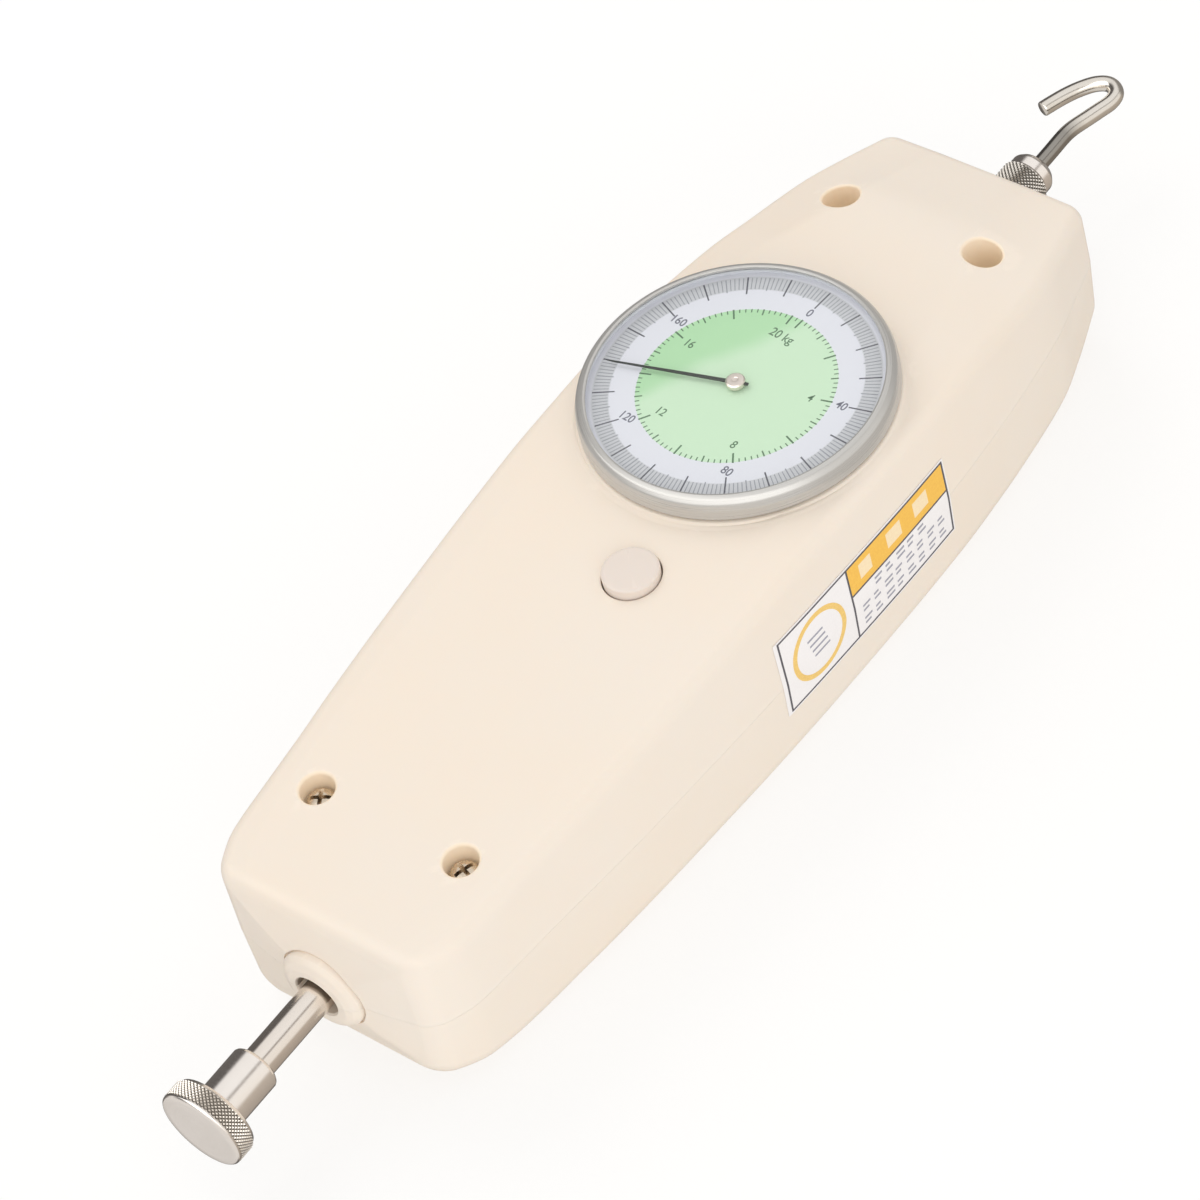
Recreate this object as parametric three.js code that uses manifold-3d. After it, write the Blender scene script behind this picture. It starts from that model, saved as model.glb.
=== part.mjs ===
// Handheld analogue push-pull force gauge: a moulded two-part case with a dial on its front, a
// measuring shaft through both ends of the case, a hook on one end of the shaft and a compression
// disc on the other.
//
// Millimetres. The model is built with the shaft axis on y (x = 0, z = 0), then lifted by AXIS_Z
// so that the origin is on the flat back of the case under the middle of the dial.
// +Y points towards the hook, +Z out of the dial.

import * as THREE from "three";
import { mergeVertices } from "three/addons/utils/BufferGeometryUtils.js";
import Module from "manifold-3d";

const wasm = await Module();
wasm.setup();

// ---------------------------------------------------------------- driving dimensions
const AXIS_Z = 20.2; // shaft axis above the flat back of the case
const WALL = 2.2;
const END_WALL = 2.6;
const Y_DISC_END = -124.5; // rim of the case's end face, disc end
const Y_HOOK_END = 74.3; // end face of the case, hook end
const CROWN = 2.1; // how far the middle of an end face on the disc side stands out from its rim
const SHAFT_HOLE_R = 4.3;

const SHAFT_R = 3;
const SHAFT_Y0 = -152;
const SHAFT_Y1 = 83;
const SHAFT_BORE_R = SHAFT_R + 0.06; // bore of the pieces fitted round the shaft
const RACK_SCREW_YS = [-1.6, 20.6];
const RACK_HOLE_R = 0.75;

const CASE_SCREWS = [
  { x: -15.75, y: -102.4, seatZ: 13.2, boreR: 3.15, postR: 4.5, length: 18 },
  { x: 15.75, y: -102.4, seatZ: 13.2, boreR: 3.15, postR: 4.5, length: 18 },
  { x: -15.6, y: 51.65, seatZ: 8.4, boreR: 3.5, postR: 5, length: 13.5 },
  { x: 15.6, y: 51.65, seatZ: 8.4, boreR: 3.5, postR: 5, length: 13.5 },
];

const BASE_Z0 = -11; // frame plate, rear and front faces
const BASE_Z1 = -9.5;
const SEAT_GAP = 0.02; // gap under seated parts
const DISC_WALL_Y = [-113, -109]; // bearing walls: outer face, inner face
const HOOK_WALL_Y = [61, 57];
const ABUTMENT_Y0 = -26; // cross wall that takes the spring
const ABUTMENT_Y1 = -22;
const UPPER_Z0 = 8; // movement plate
const UPPER_Z1 = 9.4;
const CUP_Z0 = 20.5; // floor of the dial cup
const PILLAR_GAP = 0.03; // gap at each shoulder of a pillar

// [x, y] places
const STANDOFFS = [[-7, -98], [7, -98], [-7, 44], [7, 44]];
const CUP_POSTS = [[13.5, -2], [11, 21], [-18, 0]];
const PLATE_PILLARS = [[-20, -8], [12.5, -10], [13, 28], [-20, 29]];

const DIAL_Z = 26.6; // printed face of the dial
const DIAL_R = 27.74; // dial, its spacer ring and the crystal
const BEZEL_R = 28.8;
const BEZEL_BORE_R = 27.8;
const BEZEL_LIP_R = 26.6;
const BEZEL_Z0 = 23.6;
const BEZEL_Z1 = 28.5;
const GLASS_EDGE_Z0 = 27.3; // flange of the domed crystal
const GLASS_EDGE_Z1 = 27.82;
const POINTER_ANGLE = (254.9 * Math.PI) / 180; // clockwise from +Y, seen from the front
const POINTER_LENGTH = 24.7;

// gear train: rack, pinion, wheel, pointer pinion
const PITCH = 1.25; // of the rack
const MODULE = PITCH / Math.PI;
const ADDENDUM = MODULE * 0.92;
const DEDENDUM = MODULE * 1.25;
const PRESSURE_ANGLE = (20 * Math.PI) / 180;
const BACKLASH = 0.09; // tooth thinning at the pitch line
const PINION_TEETH = 20;
const WHEEL_TEETH = 60;
const POINTER_TEETH = 24;
const WHEEL_X = -9;
const WHEEL_Y = 14.08;
const RACK_LINE_X = WHEEL_X + (MODULE * PINION_TEETH) / 2;
const TO_POINTER = Math.atan2(-WHEEL_Y, -WHEEL_X); // direction from wheel to pointer arbor

const BUTTON_X = 6.5;
const BUTTON_Y = -41;
const BUTTON_R = 5.2;
const LEVER_Y = (ABUTMENT_Y0 + ABUTMENT_Y1) / 2; // rocker pin
const LEVER_Z = 13.2;
const SPRING_Y0 = -84;
const SPRING_Y1 = ABUTMENT_Y0;

// ---------------------------------------------------------------- materials
const MATERIALS = {
  caseFront: { color: 0xf6eadb, roughness: 0.5, metalness: 0 },
  caseRear: { color: 0xece0cf, roughness: 0.5, metalness: 0 },
  steel: { color: 0xb9b7b2, roughness: 0.3, metalness: 1 },
  bright: { color: 0xd8d4ce, roughness: 0.18, metalness: 1 },
  brass: { color: 0xc9a45c, roughness: 0.35, metalness: 1 },
  aluminium: { color: 0xdcd9d4, roughness: 0.35, metalness: 1 },
  dial: { color: 0xe9e9f0, roughness: 0.6, metalness: 0 },
  black: { color: 0x23211f, roughness: 0.5, metalness: 0 },
  screw: { color: 0x9b8a72, roughness: 0.35, metalness: 1 },
  button: { color: 0xe6ddd0, roughness: 0.5, metalness: 0 },
  label: { color: 0xf2f0ea, roughness: 0.6, metalness: 0 },
  glass: { color: 0xffffff, roughness: 0.05, metalness: 0, transparent: true, opacity: 0.3 },
};

// ---------------------------------------------------------------- solid helpers
// Manifold solid from a closed three.js geometry, its vertices welded
function solid(geometry, placement) {
  const copy = geometry.clone();
  if (placement) copy.applyMatrix4(placement);
  copy.deleteAttribute("normal");
  copy.deleteAttribute("uv");
  const welded = mergeVertices(copy, 1e-4);
  return new wasm.Manifold(
    new wasm.Mesh({
      numProp: 3,
      vertProperties: new Float32Array(welded.attributes.position.array),
      triVerts: new Uint32Array(welded.index.array),
    }),
  );
}

// As solid(), but turns an inside-out indexed geometry to face outwards
function facingOut(geometry, placement) {
  const body = solid(geometry, placement);
  if (body.volume() >= 0) return body;
  const index = geometry.index.array;
  for (let i = 0; i < index.length; i += 3) {
    [index[i + 1], index[i + 2]] = [index[i + 2], index[i + 1]];
  }
  return solid(geometry, placement);
}

function geometryOf(body) {
  const mesh = body.getMesh();
  const geometry = new THREE.BufferGeometry();
  const positions = new Float32Array(mesh.vertProperties);
  geometry.setAttribute("position", new THREE.BufferAttribute(positions, 3));
  geometry.setIndex(new THREE.BufferAttribute(new Uint32Array(mesh.triVerts), 1));
  geometry.computeVertexNormals();
  return geometry;
}

const join = (first, ...others) => others.reduce((sum, other) => sum.add(other), first);
const cut = (body, ...tools) => tools.reduce((rest, tool) => rest.subtract(tool), body);

const translation = (x, y, z) => new THREE.Matrix4().makeTranslation(x, y, z);
// placements that lay a turned piece's axis along z or x
const alongZ = (x, y) =>
  translation(x, y, 0).multiply(new THREE.Matrix4().makeRotationX(Math.PI / 2));
const alongX = (y, z) =>
  translation(0, y, z).multiply(new THREE.Matrix4().makeRotationZ(-Math.PI / 2));

const boxAt = (x0, x1, y0, y1, z0, z1) =>
  solid(
    new THREE.BoxGeometry(x1 - x0, y1 - y0, z1 - z0),
    translation((x0 + x1) / 2, (y0 + y1) / 2, (z0 + z1) / 2),
  );

// Turned piece, along y unless placed. Profile rows are [radius, height along the axis]; they run
// from axis to axis, or round a ring that is closed here.
function turned(profile, segments, placement) {
  const rows = profile[0][0] > 0 ? [...profile, profile[0]] : profile;
  const points = rows.map(([radius, height]) => new THREE.Vector2(radius, height));
  return facingOut(new THREE.LatheGeometry(points, segments), placement);
}

const rodProfile = (radius, start, end) => [[0, start], [radius, start], [radius, end], [0, end]];
const rodX = (y, z, radius, x0, x1, segments) =>
  turned(rodProfile(radius, x0, x1), segments, alongX(y, z));
const rodY = (radius, y0, y1, segments) => turned(rodProfile(radius, y0, y1), segments);
const rodZ = (x, y, radius, z0, z1, segments) =>
  turned(rodProfile(radius, z0, z1), segments, alongZ(x, y));
const rodsZ = (places, ...size) => places.map(([x, y]) => rodZ(x, y, ...size));
const tubeZ = (x, y, boreR, radius, z0, z1, segments) =>
  turned([[boreR, z0], [radius, z0], [radius, z1], [boreR, z1]], segments, alongZ(x, y));

const shapeOf = (points) => new THREE.Shape(points.map(([x, y]) => new THREE.Vector2(x, y)));
const extruded = (points, depth, placement) =>
  solid(new THREE.ExtrudeGeometry(shapeOf(points), { depth, bevelEnabled: false }), placement);
const plateZ = (points, z0, z1) => extruded(points, z1 - z0, translation(0, 0, z0));

// Round wire swept along a curve
function wire(curve, radius, sides, steps) {
  const section = Array.from({ length: sides }, (_, i) => {
    const angle = (i / sides) * Math.PI * 2;
    return [radius * Math.cos(angle), radius * Math.sin(angle)];
  });
  const options = { steps, bevelEnabled: false, extrudePath: curve };
  return solid(new THREE.ExtrudeGeometry(shapeOf(section), options));
}

// Coil; place(across, up, along) gives the [x, y, z] of a point in the coil's own frame
class Helix extends THREE.Curve {
  constructor({ radius, start, end, turns, place }) {
    super();
    Object.assign(this, { radius, start, end, turns, place });
  }

  getPoint(t, target = new THREE.Vector3()) {
    const angle = t * this.turns * Math.PI * 2;
    const along = this.start + (this.end - this.start) * t;
    const { radius } = this;
    return target.set(...this.place(radius * Math.cos(angle), radius * Math.sin(angle), along));
  }
}

// Closed solid through rings of equal point count, capped by a fan at each end
function ringLoft(rings) {
  const count = rings[0].length;
  const positions = rings.flat(2);
  const cap = rings.length * count;
  for (const ring of [rings[0], rings[rings.length - 1]]) {
    for (let axis = 0; axis < 3; axis++) {
      positions.push(ring.reduce((sum, point) => sum + point[axis] / count, 0));
    }
  }
  const index = [];
  for (let i = 0; i + 1 < rings.length; i++) {
    for (let j = 0; j < count; j++) {
      const here = i * count + j;
      const next = i * count + ((j + 1) % count);
      index.push(here, next, next + count, here, next + count, here + count);
    }
  }
  const last = cap - count;
  for (let j = 0; j < count; j++) {
    const next = (j + 1) % count;
    index.push(cap, next, j);
    index.push(cap + 1, last + j, last + next);
  }
  const geometry = new THREE.BufferGeometry();
  const attribute = new THREE.BufferAttribute(new Float32Array(positions), 3);
  geometry.setAttribute("position", attribute);
  geometry.setIndex(index);
  return facingOut(geometry);
}

// ---------------------------------------------------------------- case form
// Sections of the case along y; heights are from the shaft axis. Columns:
// y, half width, front z at the edge, front z in the middle, half width of the flat middle band,
// back z
const STATIONS = [
  [-124.5, 21.6, 16.3, 16.6, 15, -15.9],
  [-115, 25.4, 16.8, 17.2, 19, -18.3],
  [-104, 26.4, 17.5, 17.9, 21, -19.8],
  [-95, 27.1, 18.05, 18.5, 22, -20.2],
  [-85, 28.1, 18.65, 19.15, 22.5, -20.2],
  [-70, 29.3, 19.5, 20.05, 23, -20.2],
  [-55, 30.2, 20.45, 21.0, 23, -20.2],
  [-42, 30.9, 21.2, 21.8, 23, -20.2],
  [-22, 31.5, 22.3, 23.0, 23, -20.2],
  [0, 31.7, 22.3, 24.0, 22.5, -20.2],
  [15, 31.5, 21.0, 22.9, 21.5, -20.2],
  [30, 30.6, 19.4, 21.6, 20, -20.2],
  [40, 29.6, 17.6, 20.6, 17.5, -20.2],
  [54, 27.6, 15.7, 19.3, 13, -20.1],
  [62, 25.5, 14.7, 17.0, 11.5, -19.0],
  [74.3, 21.9, 12.9, 13.1, 10, -15.6],
];
const FRONT_LEAN = 0.35; // how far the side walls lean in from z = 0 to the front edge
const BACK_LEAN = 0.9; // and to the back edge
const BAND_EDGE_R = 6;
const FRONT_EDGE_R = 2.9;
const BACK_EDGE_R = 5.2;
const END_ROUND_STEPS = 3;
const CROWN_SCALES = [0.84, 0.62, 0.34]; // rim copies that make up the crowned end
const STATION_MARGIN = 0.5; // stations closer than this to an end rounding are left out

function stationAt(y) {
  let i = 0;
  while (i < STATIONS.length - 2 && y > STATIONS[i + 1][0]) i++;
  const before = STATIONS[i];
  const after = STATIONS[i + 1];
  const t = (y - before[0]) / (after[0] - before[0]);
  return before.map((value, column) => value + (after[column] - value) * t);
}

// Circular arc of steps + 1 points that rounds a corner, as a rational quadratic curve
function roundCorner(corner, from, to, radius, steps) {
  const toStart = from.clone().sub(corner).normalize();
  const toEnd = to.clone().sub(corner).normalize();
  const halfAngle = toStart.angleTo(toEnd) / 2;
  const reach = radius / Math.tan(halfAngle);
  const start = corner.clone().addScaledVector(toStart, reach);
  const end = corner.clone().addScaledVector(toEnd, reach);
  return Array.from({ length: steps + 1 }, (_, i) => {
    const t = i / steps;
    const startWeight = (1 - t) * (1 - t);
    const cornerWeight = 2 * t * (1 - t) * Math.sin(halfAngle);
    const endWeight = t * t;
    return start
      .clone()
      .multiplyScalar(startWeight)
      .addScaledVector(corner, cornerWeight)
      .addScaledVector(end, endWeight)
      .divideScalar(startWeight + cornerWeight + endWeight);
  });
}

// Cross-section of the case at y, shrunk by inset
function caseRing(y, inset) {
  const [, halfWidth, edgeZ, middleZ, bandHalfWidth, backZ] = stationAt(y);
  const sideX = halfWidth - inset;
  const frontZ = middleZ - inset;
  const rearZ = backZ + inset;
  const frontMiddle = new THREE.Vector2(0, frontZ);
  const bandEdge = new THREE.Vector2(bandHalfWidth - inset * 0.4, frontZ);
  const frontEdge = new THREE.Vector2(sideX - FRONT_LEAN, edgeZ - inset);
  const side = new THREE.Vector2(sideX, 0);
  const backEdge = new THREE.Vector2(sideX - BACK_LEAN, rearZ);
  const backMiddle = new THREE.Vector2(0, rearZ);
  const frontR = Math.max(1, FRONT_EDGE_R - inset * 0.6);
  const backR = Math.max(1.5, BACK_EDGE_R - inset * 0.8);
  const half = [
    ...roundCorner(bandEdge, frontMiddle, frontEdge, BAND_EDGE_R, 1),
    ...roundCorner(frontEdge, bandEdge, side, frontR, 3),
    side,
    ...roundCorner(backEdge, side, backMiddle, backR, 3),
  ];
  return [
    [0, y, frontZ],
    ...half.map((point) => [point.x, y, point.y]),
    [0, y, rearZ],
    ...half.reverse().map((point) => [-point.x, y, point.y]),
  ];
}

// Case body shrunk by inset at the sides and endInset at the ends, with rounded end edges
function caseLoft({ inset, endInset, discRound, hookRound }) {
  const y0 = Y_DISC_END + endInset;
  const y1 = Y_HOOK_END - endInset;
  // rings of an end rounding, from the full section to the rim; inward is +1 or -1 along y
  const endRings = (endY, inward, radius) =>
    Array.from({ length: END_ROUND_STEPS + 1 }, (_, i) => {
      const angle = (i / END_ROUND_STEPS) * (Math.PI / 2);
      const distance = radius * (1 - Math.sin(angle));
      return caseRing(endY + inward * distance, inset + radius * (1 - Math.cos(angle)));
    });
  const discRings = endRings(y0, 1, discRound).reverse();

  const rim = discRings[0];
  const rimZs = rim.map(([, , z]) => z);
  const midZ = (Math.max(...rimZs) + Math.min(...rimZs)) / 2;
  const crownRings = CROWN_SCALES.map((scale) => {
    const y = y0 - CROWN * (1 - scale * scale);
    return rim.map(([x, , z]) => [x * scale, y, midZ + (z - midZ) * scale]);
  }).reverse();

  const first = y0 + discRound + STATION_MARGIN;
  const last = y1 - hookRound - STATION_MARGIN;
  const middleRings = STATIONS.filter(([y]) => y > first && y < last).map(([y]) =>
    caseRing(y, inset),
  );
  return ringLoft([
    ...crownRings,
    ...discRings,
    ...middleRings,
    ...endRings(y1, -1, hookRound),
  ]);
}

// ---------------------------------------------------------------- case shells
// Low domed boss round the shaft hole, disc end
function discBoss() {
  const faceY = -128.3;
  const rootY = Y_DISC_END + 1;
  return turned(
    [[0, faceY], [5.9, faceY], [7.4, faceY + 0.5], [8.4, faceY + 1.7], [8.4, rootY], [0, rootY]],
    28,
  );
}

// Raised round boss with a chamfered edge, hook end
function hookBoss() {
  const radius = 8.6;
  const chamfer = 0.7;
  const rootY = Y_HOOK_END - 1;
  const faceY = Y_HOOK_END + 2.6;
  return turned(
    [
      [0, rootY], [radius, rootY], [radius, faceY - chamfer], [radius - chamfer, faceY], [0, faceY],
    ],
    28,
  );
}

// Whole case: hollow body, screw posts and standoffs inside it, and all its holes
function caseShell() {
  const outer = caseLoft({ inset: 0, endInset: 0, discRound: 3.4, hookRound: 2.6 });
  const inner = caseLoft({ inset: WALL, endInset: END_WALL, discRound: 2.2, hookRound: 1.6 });
  const posts = CASE_SCREWS.map(({ x, y, postR }) => rodZ(x, y, postR, -26, 26, 12));
  const standoffs = rodsZ(STANDOFFS, 3.4, -24, BASE_Z0 - SEAT_GAP, 10);
  const shell = join(
    cut(outer, inner),
    ...[...posts, ...standoffs].map((post) => post.intersect(outer)),
    discBoss(),
    hookBoss(),
    rodZ(0, 0, 29.2, 19.4, 23.35, 48), // low round seat under the bezel
    rodZ(BUTTON_X, BUTTON_Y, BUTTON_R + 1.8, 17.4, 20, 20), // collar round the button
  );
  return cut(
    shell,
    rodY(SHAFT_HOLE_R, Y_DISC_END - 8, Y_DISC_END + 6, 28),
    rodY(SHAFT_HOLE_R, Y_HOOK_END - 6, Y_HOOK_END + 8, 28),
    rodZ(0, 0, 27.75, 6, 40, 48), // dial opening
    rodZ(BUTTON_X, BUTTON_Y, BUTTON_R + 0.35, 10, 30, 24),
    ...CASE_SCREWS.flatMap(({ x, y, seatZ, boreR }) => [
      rodZ(x, y, boreR, seatZ, 40, 18),
      rodZ(x, y, 1.75, -9, seatZ + 1, 10),
    ]),
    ...rodsZ(STANDOFFS, 1.65, -17, -8, 8),
  );
}
const PARTING_GAP = 0.02; // each half stops this far short of z = 0
const frontHalf = (shell) => shell.intersect(boxAt(-60, 60, -160, 110, PARTING_GAP, 60));
const rearHalf = (shell) => shell.intersect(boxAt(-60, 60, -160, 110, -60, -PARTING_GAP));

// Pan-head screw with its seat at z, pointing down; a cross or a single slot in the head
function screw({ x, y, z, headR, headH, shankR, length, turn, cross }) {
  const body = turned(
    [
      [0, z - length], [shankR, z - length], [shankR, z], [headR, z],
      [headR, z + headH * 0.5], [headR * 0.72, z + headH], [0, z + headH],
    ],
    12,
    alongZ(x, y),
  );
  const slot = (angle, slotLength) =>
    solid(
      new THREE.BoxGeometry(slotLength, headR * 0.26, headH * 1.2),
      translation(x, y, z + headH).multiply(new THREE.Matrix4().makeRotationZ(angle)),
    );
  if (!cross) return cut(body, slot(turn, headR * 3));
  return cut(body, slot(turn, headR * 1.15), slot(turn + Math.PI / 2, headR * 1.15));
}

const caseScrew = ({ x, y, seatZ, boreR, length }, i) =>
  screw({
    x, y, z: seatZ + SEAT_GAP, length,
    headR: boreR - 0.3, headH: 2.3, shankR: 1.5, turn: 0.4 + i * 0.7, cross: true,
  });
const frameScrew = ([x, y], i) =>
  screw({
    x, y, z: BASE_Z1 + SEAT_GAP, length: 7.2,
    headR: 2.7, headH: 1.5, shankR: 1.45, turn: 0.3 + i, cross: false,
  });

// ---------------------------------------------------------------- inner frame
// [x, y]
const FRAME_OUTLINE = [
  [-10, -116], [10, -116], [10, -52], [15.5, -48], [16, -26], [16, 34], [10, 40], [10, 62],
  [-10, 62], [-10, 40], [-24, 34], [-24, -14], [-12.5, -24], [-12.5, -48], [-10, -52],
];

// Base plate with two bearing walls, the spring abutment and two lever lugs
function framePlate() {
  const rootZ = BASE_Z1 - 0.5;
  const body = join(
    plateZ(FRAME_OUTLINE, BASE_Z0, BASE_Z1),
    boxAt(-9, 9, ...DISC_WALL_Y, rootZ, 8),
    boxAt(-9, 9, HOOK_WALL_Y[1], HOOK_WALL_Y[0], rootZ, 8),
    boxAt(-10, 10, ABUTMENT_Y0, ABUTMENT_Y1, rootZ, 9),
    boxAt(0.2, 12.6, ABUTMENT_Y0, ABUTMENT_Y1, 8.5, 10.4), // foot of the lugs
    boxAt(0.2, 2.4, ABUTMENT_Y0, ABUTMENT_Y1, 9, 15.4),
    boxAt(10.6, 12.6, ABUTMENT_Y0, ABUTMENT_Y1, 9, 15.4),
  );
  return cut(
    body,
    rodY(5.06, -114, -108, 20),
    rodY(5.06, 56, 62, 20),
    rodY(4.4, ABUTMENT_Y0 - 1, ABUTMENT_Y1 + 1, 20),
    rodX(LEVER_Y, LEVER_Z, 1.05, -2, 15, 16),
    ...rodsZ(STANDOFFS, 1.75, -12, -9, 14),
    rodZ(WHEEL_X, WHEEL_Y, 0.85, -12, -9, 14),
    ...rodsZ(PLATE_PILLARS, 1.25, -12, -9, 14),
  );
}

// Flanged bush for the shaft, its flange against the outer face of a bearing wall
function shaftBush([outerY, innerY]) {
  const outward = Math.sign(outerY - innerY);
  const flangeFaceY = outerY + outward * 1.4;
  const flangeSeatY = outerY + outward * SEAT_GAP;
  const tailY = innerY - outward * 1.5;
  return turned(
    [
      [SHAFT_BORE_R, flangeFaceY], [6.4, flangeFaceY], [6.4, flangeSeatY],
      [5, flangeSeatY], [5, tailY], [SHAFT_BORE_R, tailY],
    ],
    20,
  );
}

// ---------------------------------------------------------------- shaft and what it carries
function mainShaft() {
  const chamfer = 0.4;
  const rod = turned(
    [
      [0, SHAFT_Y0], [SHAFT_R - chamfer, SHAFT_Y0], [SHAFT_R, SHAFT_Y0 + chamfer],
      [SHAFT_R, SHAFT_Y1 - chamfer], [SHAFT_R - chamfer, SHAFT_Y1], [0, SHAFT_Y1],
    ],
    20,
  );
  // flat that seats the rack, and the two screw holes behind it
  return cut(
    rod,
    boxAt(-5, -2.3, -5.6, 24, -4, 4),
    ...RACK_SCREW_YS.map((y) => rodX(y, 0, RACK_HOLE_R, -4, -0.6, 10)),
  );
}

function springCollar() {
  const boreR = SHAFT_R + 0.04;
  const seatY = SPRING_Y0 - 0.04;
  const spigotY = SPRING_Y0 + 2.6;
  return turned(
    [
      [boreR, -90], [7.6, -90], [8.4, -89.2], [8.4, seatY],
      [5, seatY], [4.7, spigotY], [boreR, spigotY],
    ],
    20,
  );
}

function mainSpring() {
  const turns = 14;
  const endInset = 1.7;
  const coil = new Helix({
    radius: 6.9,
    start: SPRING_Y0 + endInset,
    end: SPRING_Y1 - endInset,
    turns,
    place: (across, up, along) => [across, along, up],
  });
  return wire(coil, 1.5, 5, turns * 9);
}

// ---------------------------------------------------------------- toothed pieces
// Half-angle of an involute tooth at a radius, measured from the tooth's centre line
function toothHalfAngle(teeth, radius) {
  const pitchR = (MODULE * teeth) / 2;
  const baseR = pitchR * Math.cos(PRESSURE_ANGLE);
  const involute = (angle) => Math.tan(angle) - angle;
  const angle = Math.acos(baseR / Math.max(radius, baseR));
  const thinning = BACKLASH / (2 * pitchR);
  return Math.PI / (2 * teeth) - thinning + involute(PRESSURE_ANGLE) - involute(angle);
}

// Gear outline; phase is the angle of the first tooth, flankSteps the divisions of a flank
function gearOutline(teeth, phase, flankSteps) {
  const pitchR = (MODULE * teeth) / 2;
  const tipR = pitchR + ADDENDUM;
  const rootR = pitchR - DEDENDUM;
  const baseR = pitchR * Math.cos(PRESSURE_ANGLE);
  const flankR = Math.max(rootR, baseR);
  const radii = [rootR];
  for (let i = baseR > rootR ? 0 : 1; i <= flankSteps; i++) {
    radii.push(flankR + ((tipR - flankR) * i) / flankSteps);
  }
  const points = [];
  const addFlank = (flankRadii, centre, side) => {
    for (const radius of flankRadii) {
      const angle = centre + side * toothHalfAngle(teeth, radius);
      points.push([radius * Math.cos(angle), radius * Math.sin(angle)]);
    }
  };
  for (let i = 0; i < teeth; i++) {
    const centre = phase + (i * Math.PI * 2) / teeth;
    addFlank(radii, centre, -1);
    addFlank(radii.slice().reverse(), centre, 1);
  }
  return points;
}

function gear({ teeth, phase, x, y, z0, z1, flankSteps }) {
  const outline = gearOutline(teeth, phase, flankSteps);
  return plateZ(outline.map(([gearX, gearY]) => [gearX + x, gearY + y]), z0, z1);
}

// Rack: teeth face the wheel arbor (-X), with a gap centred at the arbor's height
function rackBar() {
  const backX = -2.34;
  const rootX = RACK_LINE_X + DEDENDUM;
  const tipX = RACK_LINE_X - ADDENDUM;
  const slope = Math.tan(PRESSURE_ANGLE);
  const halfTooth = PITCH / 4 - BACKLASH / 2;
  const halfRoot = halfTooth + DEDENDUM * slope;
  const halfTip = halfTooth - ADDENDUM * slope;
  const first = -11; // tooth numbers, counted from the gap at WHEEL_Y
  const last = 3;
  const y0 = WHEEL_Y + (first - 0.5) * PITCH - 4.6;
  const y1 = WHEEL_Y + (last + 1) * PITCH + 4.2;
  const points = [[backX, y0], [rootX, y0]];
  for (let i = first; i <= last; i++) {
    const y = WHEEL_Y + (i + 0.5) * PITCH;
    points.push([rootX, y - halfRoot], [tipX, y - halfTip]);
    points.push([tipX, y + halfTip], [rootX, y + halfRoot]);
  }
  points.push([rootX, y1], [backX, y1]);
  return cut(
    plateZ(points, -2.2, 2.2),
    ...RACK_SCREW_YS.map((y) => rodX(y, 0, RACK_HOLE_R, -8, -2, 10)),
  );
}

const rackScrew = (y) =>
  turned(
    [
      [0, -6.2], [1.2, -6.2], [1.45, -5.95], [1.45, -4.56],
      [0.68, -4.56], [0.68, -0.9], [0, -0.9],
    ],
    14,
    alongX(y, 0),
  );

// Stepped arbor with the pinion that meets the rack
function wheelArbor() {
  const arbor = turned(
    [
      [0, -10.9], [0.75, -10.9], [0.75, -9.2], [1.5, -9.2], [1.5, 4.9],
      [1.1, 4.9], [1.1, 7.2], [0.75, 7.2], [0.75, 9.3], [0, 9.3],
    ],
    12,
    alongZ(WHEEL_X, WHEEL_Y),
  );
  const pinion = gear({
    teeth: PINION_TEETH, phase: 0, x: WHEEL_X, y: WHEEL_Y, z0: -1.9, z1: 1.9, flankSteps: 2,
  });
  return join(arbor, pinion);
}

// Wheel with five arms between its windows
function gearWheel() {
  const arms = 5;
  const armHalfAngle = 0.17; // at the outer edge of a window
  const innerNarrowing = 0.12; // each inner corner of a window is turned in by this much more
  const blank = gear({
    teeth: WHEEL_TEETH, phase: TO_POINTER, x: WHEEL_X, y: WHEEL_Y, z0: 5.05, z1: 6.25,
    flankSteps: 1,
  });
  const arc = (radius, from, to, steps) =>
    Array.from({ length: steps + 1 }, (_, i) => {
      const angle = from + ((to - from) * i) / steps;
      return [WHEEL_X + radius * Math.cos(angle), WHEEL_Y + radius * Math.sin(angle)];
    });
  const windows = Array.from({ length: arms }, (_, i) => {
    const from = (i * 2 * Math.PI) / arms + armHalfAngle;
    const to = ((i + 1) * 2 * Math.PI) / arms - armHalfAngle;
    const outline = [
      ...arc(9.6, from, to, 4),
      ...arc(3.6, to - innerNarrowing, from + innerNarrowing, 2),
    ];
    return plateZ(outline, 4, 8);
  });
  return cut(blank, rodZ(WHEEL_X, WHEEL_Y, 1.14, 4, 8, 16), ...windows);
}

function pointerArbor() {
  const arbor = turned(
    [
      [0, 3.75], [0.5, 3.75], [0.5, 4.75], [1.3, 4.75], [1.3, 7.6],
      [1, 7.6], [1, 26.85], [0.7, 26.85], [0.7, 27.9], [0, 27.9],
    ],
    12,
    alongZ(0, 0),
  );
  const pinion = gear({
    teeth: POINTER_TEETH,
    phase: TO_POINTER + Math.PI + Math.PI / POINTER_TEETH, // a gap faces the wheel
    x: 0, y: 0, z0: 4.95, z1: 6.35, flankSteps: 2,
  });
  return join(arbor, pinion);
}

// ---------------------------------------------------------------- movement supports
// Bridge over the shaft that holds the pointer arbor's foot
function arborBridge() {
  const footZ = BASE_Z1 + SEAT_GAP;
  const body = join(
    boxAt(-13.8, 13.8, -3.5, 3.5, 3.55, 4.6),
    boxAt(-13.8, -12.6, -3.5, 3.5, footZ, 4),
    boxAt(12.6, 13.8, -3.5, 3.5, footZ, 4),
  );
  return cut(body, rodZ(0, 0, 0.58, 3, 5, 14));
}

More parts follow.
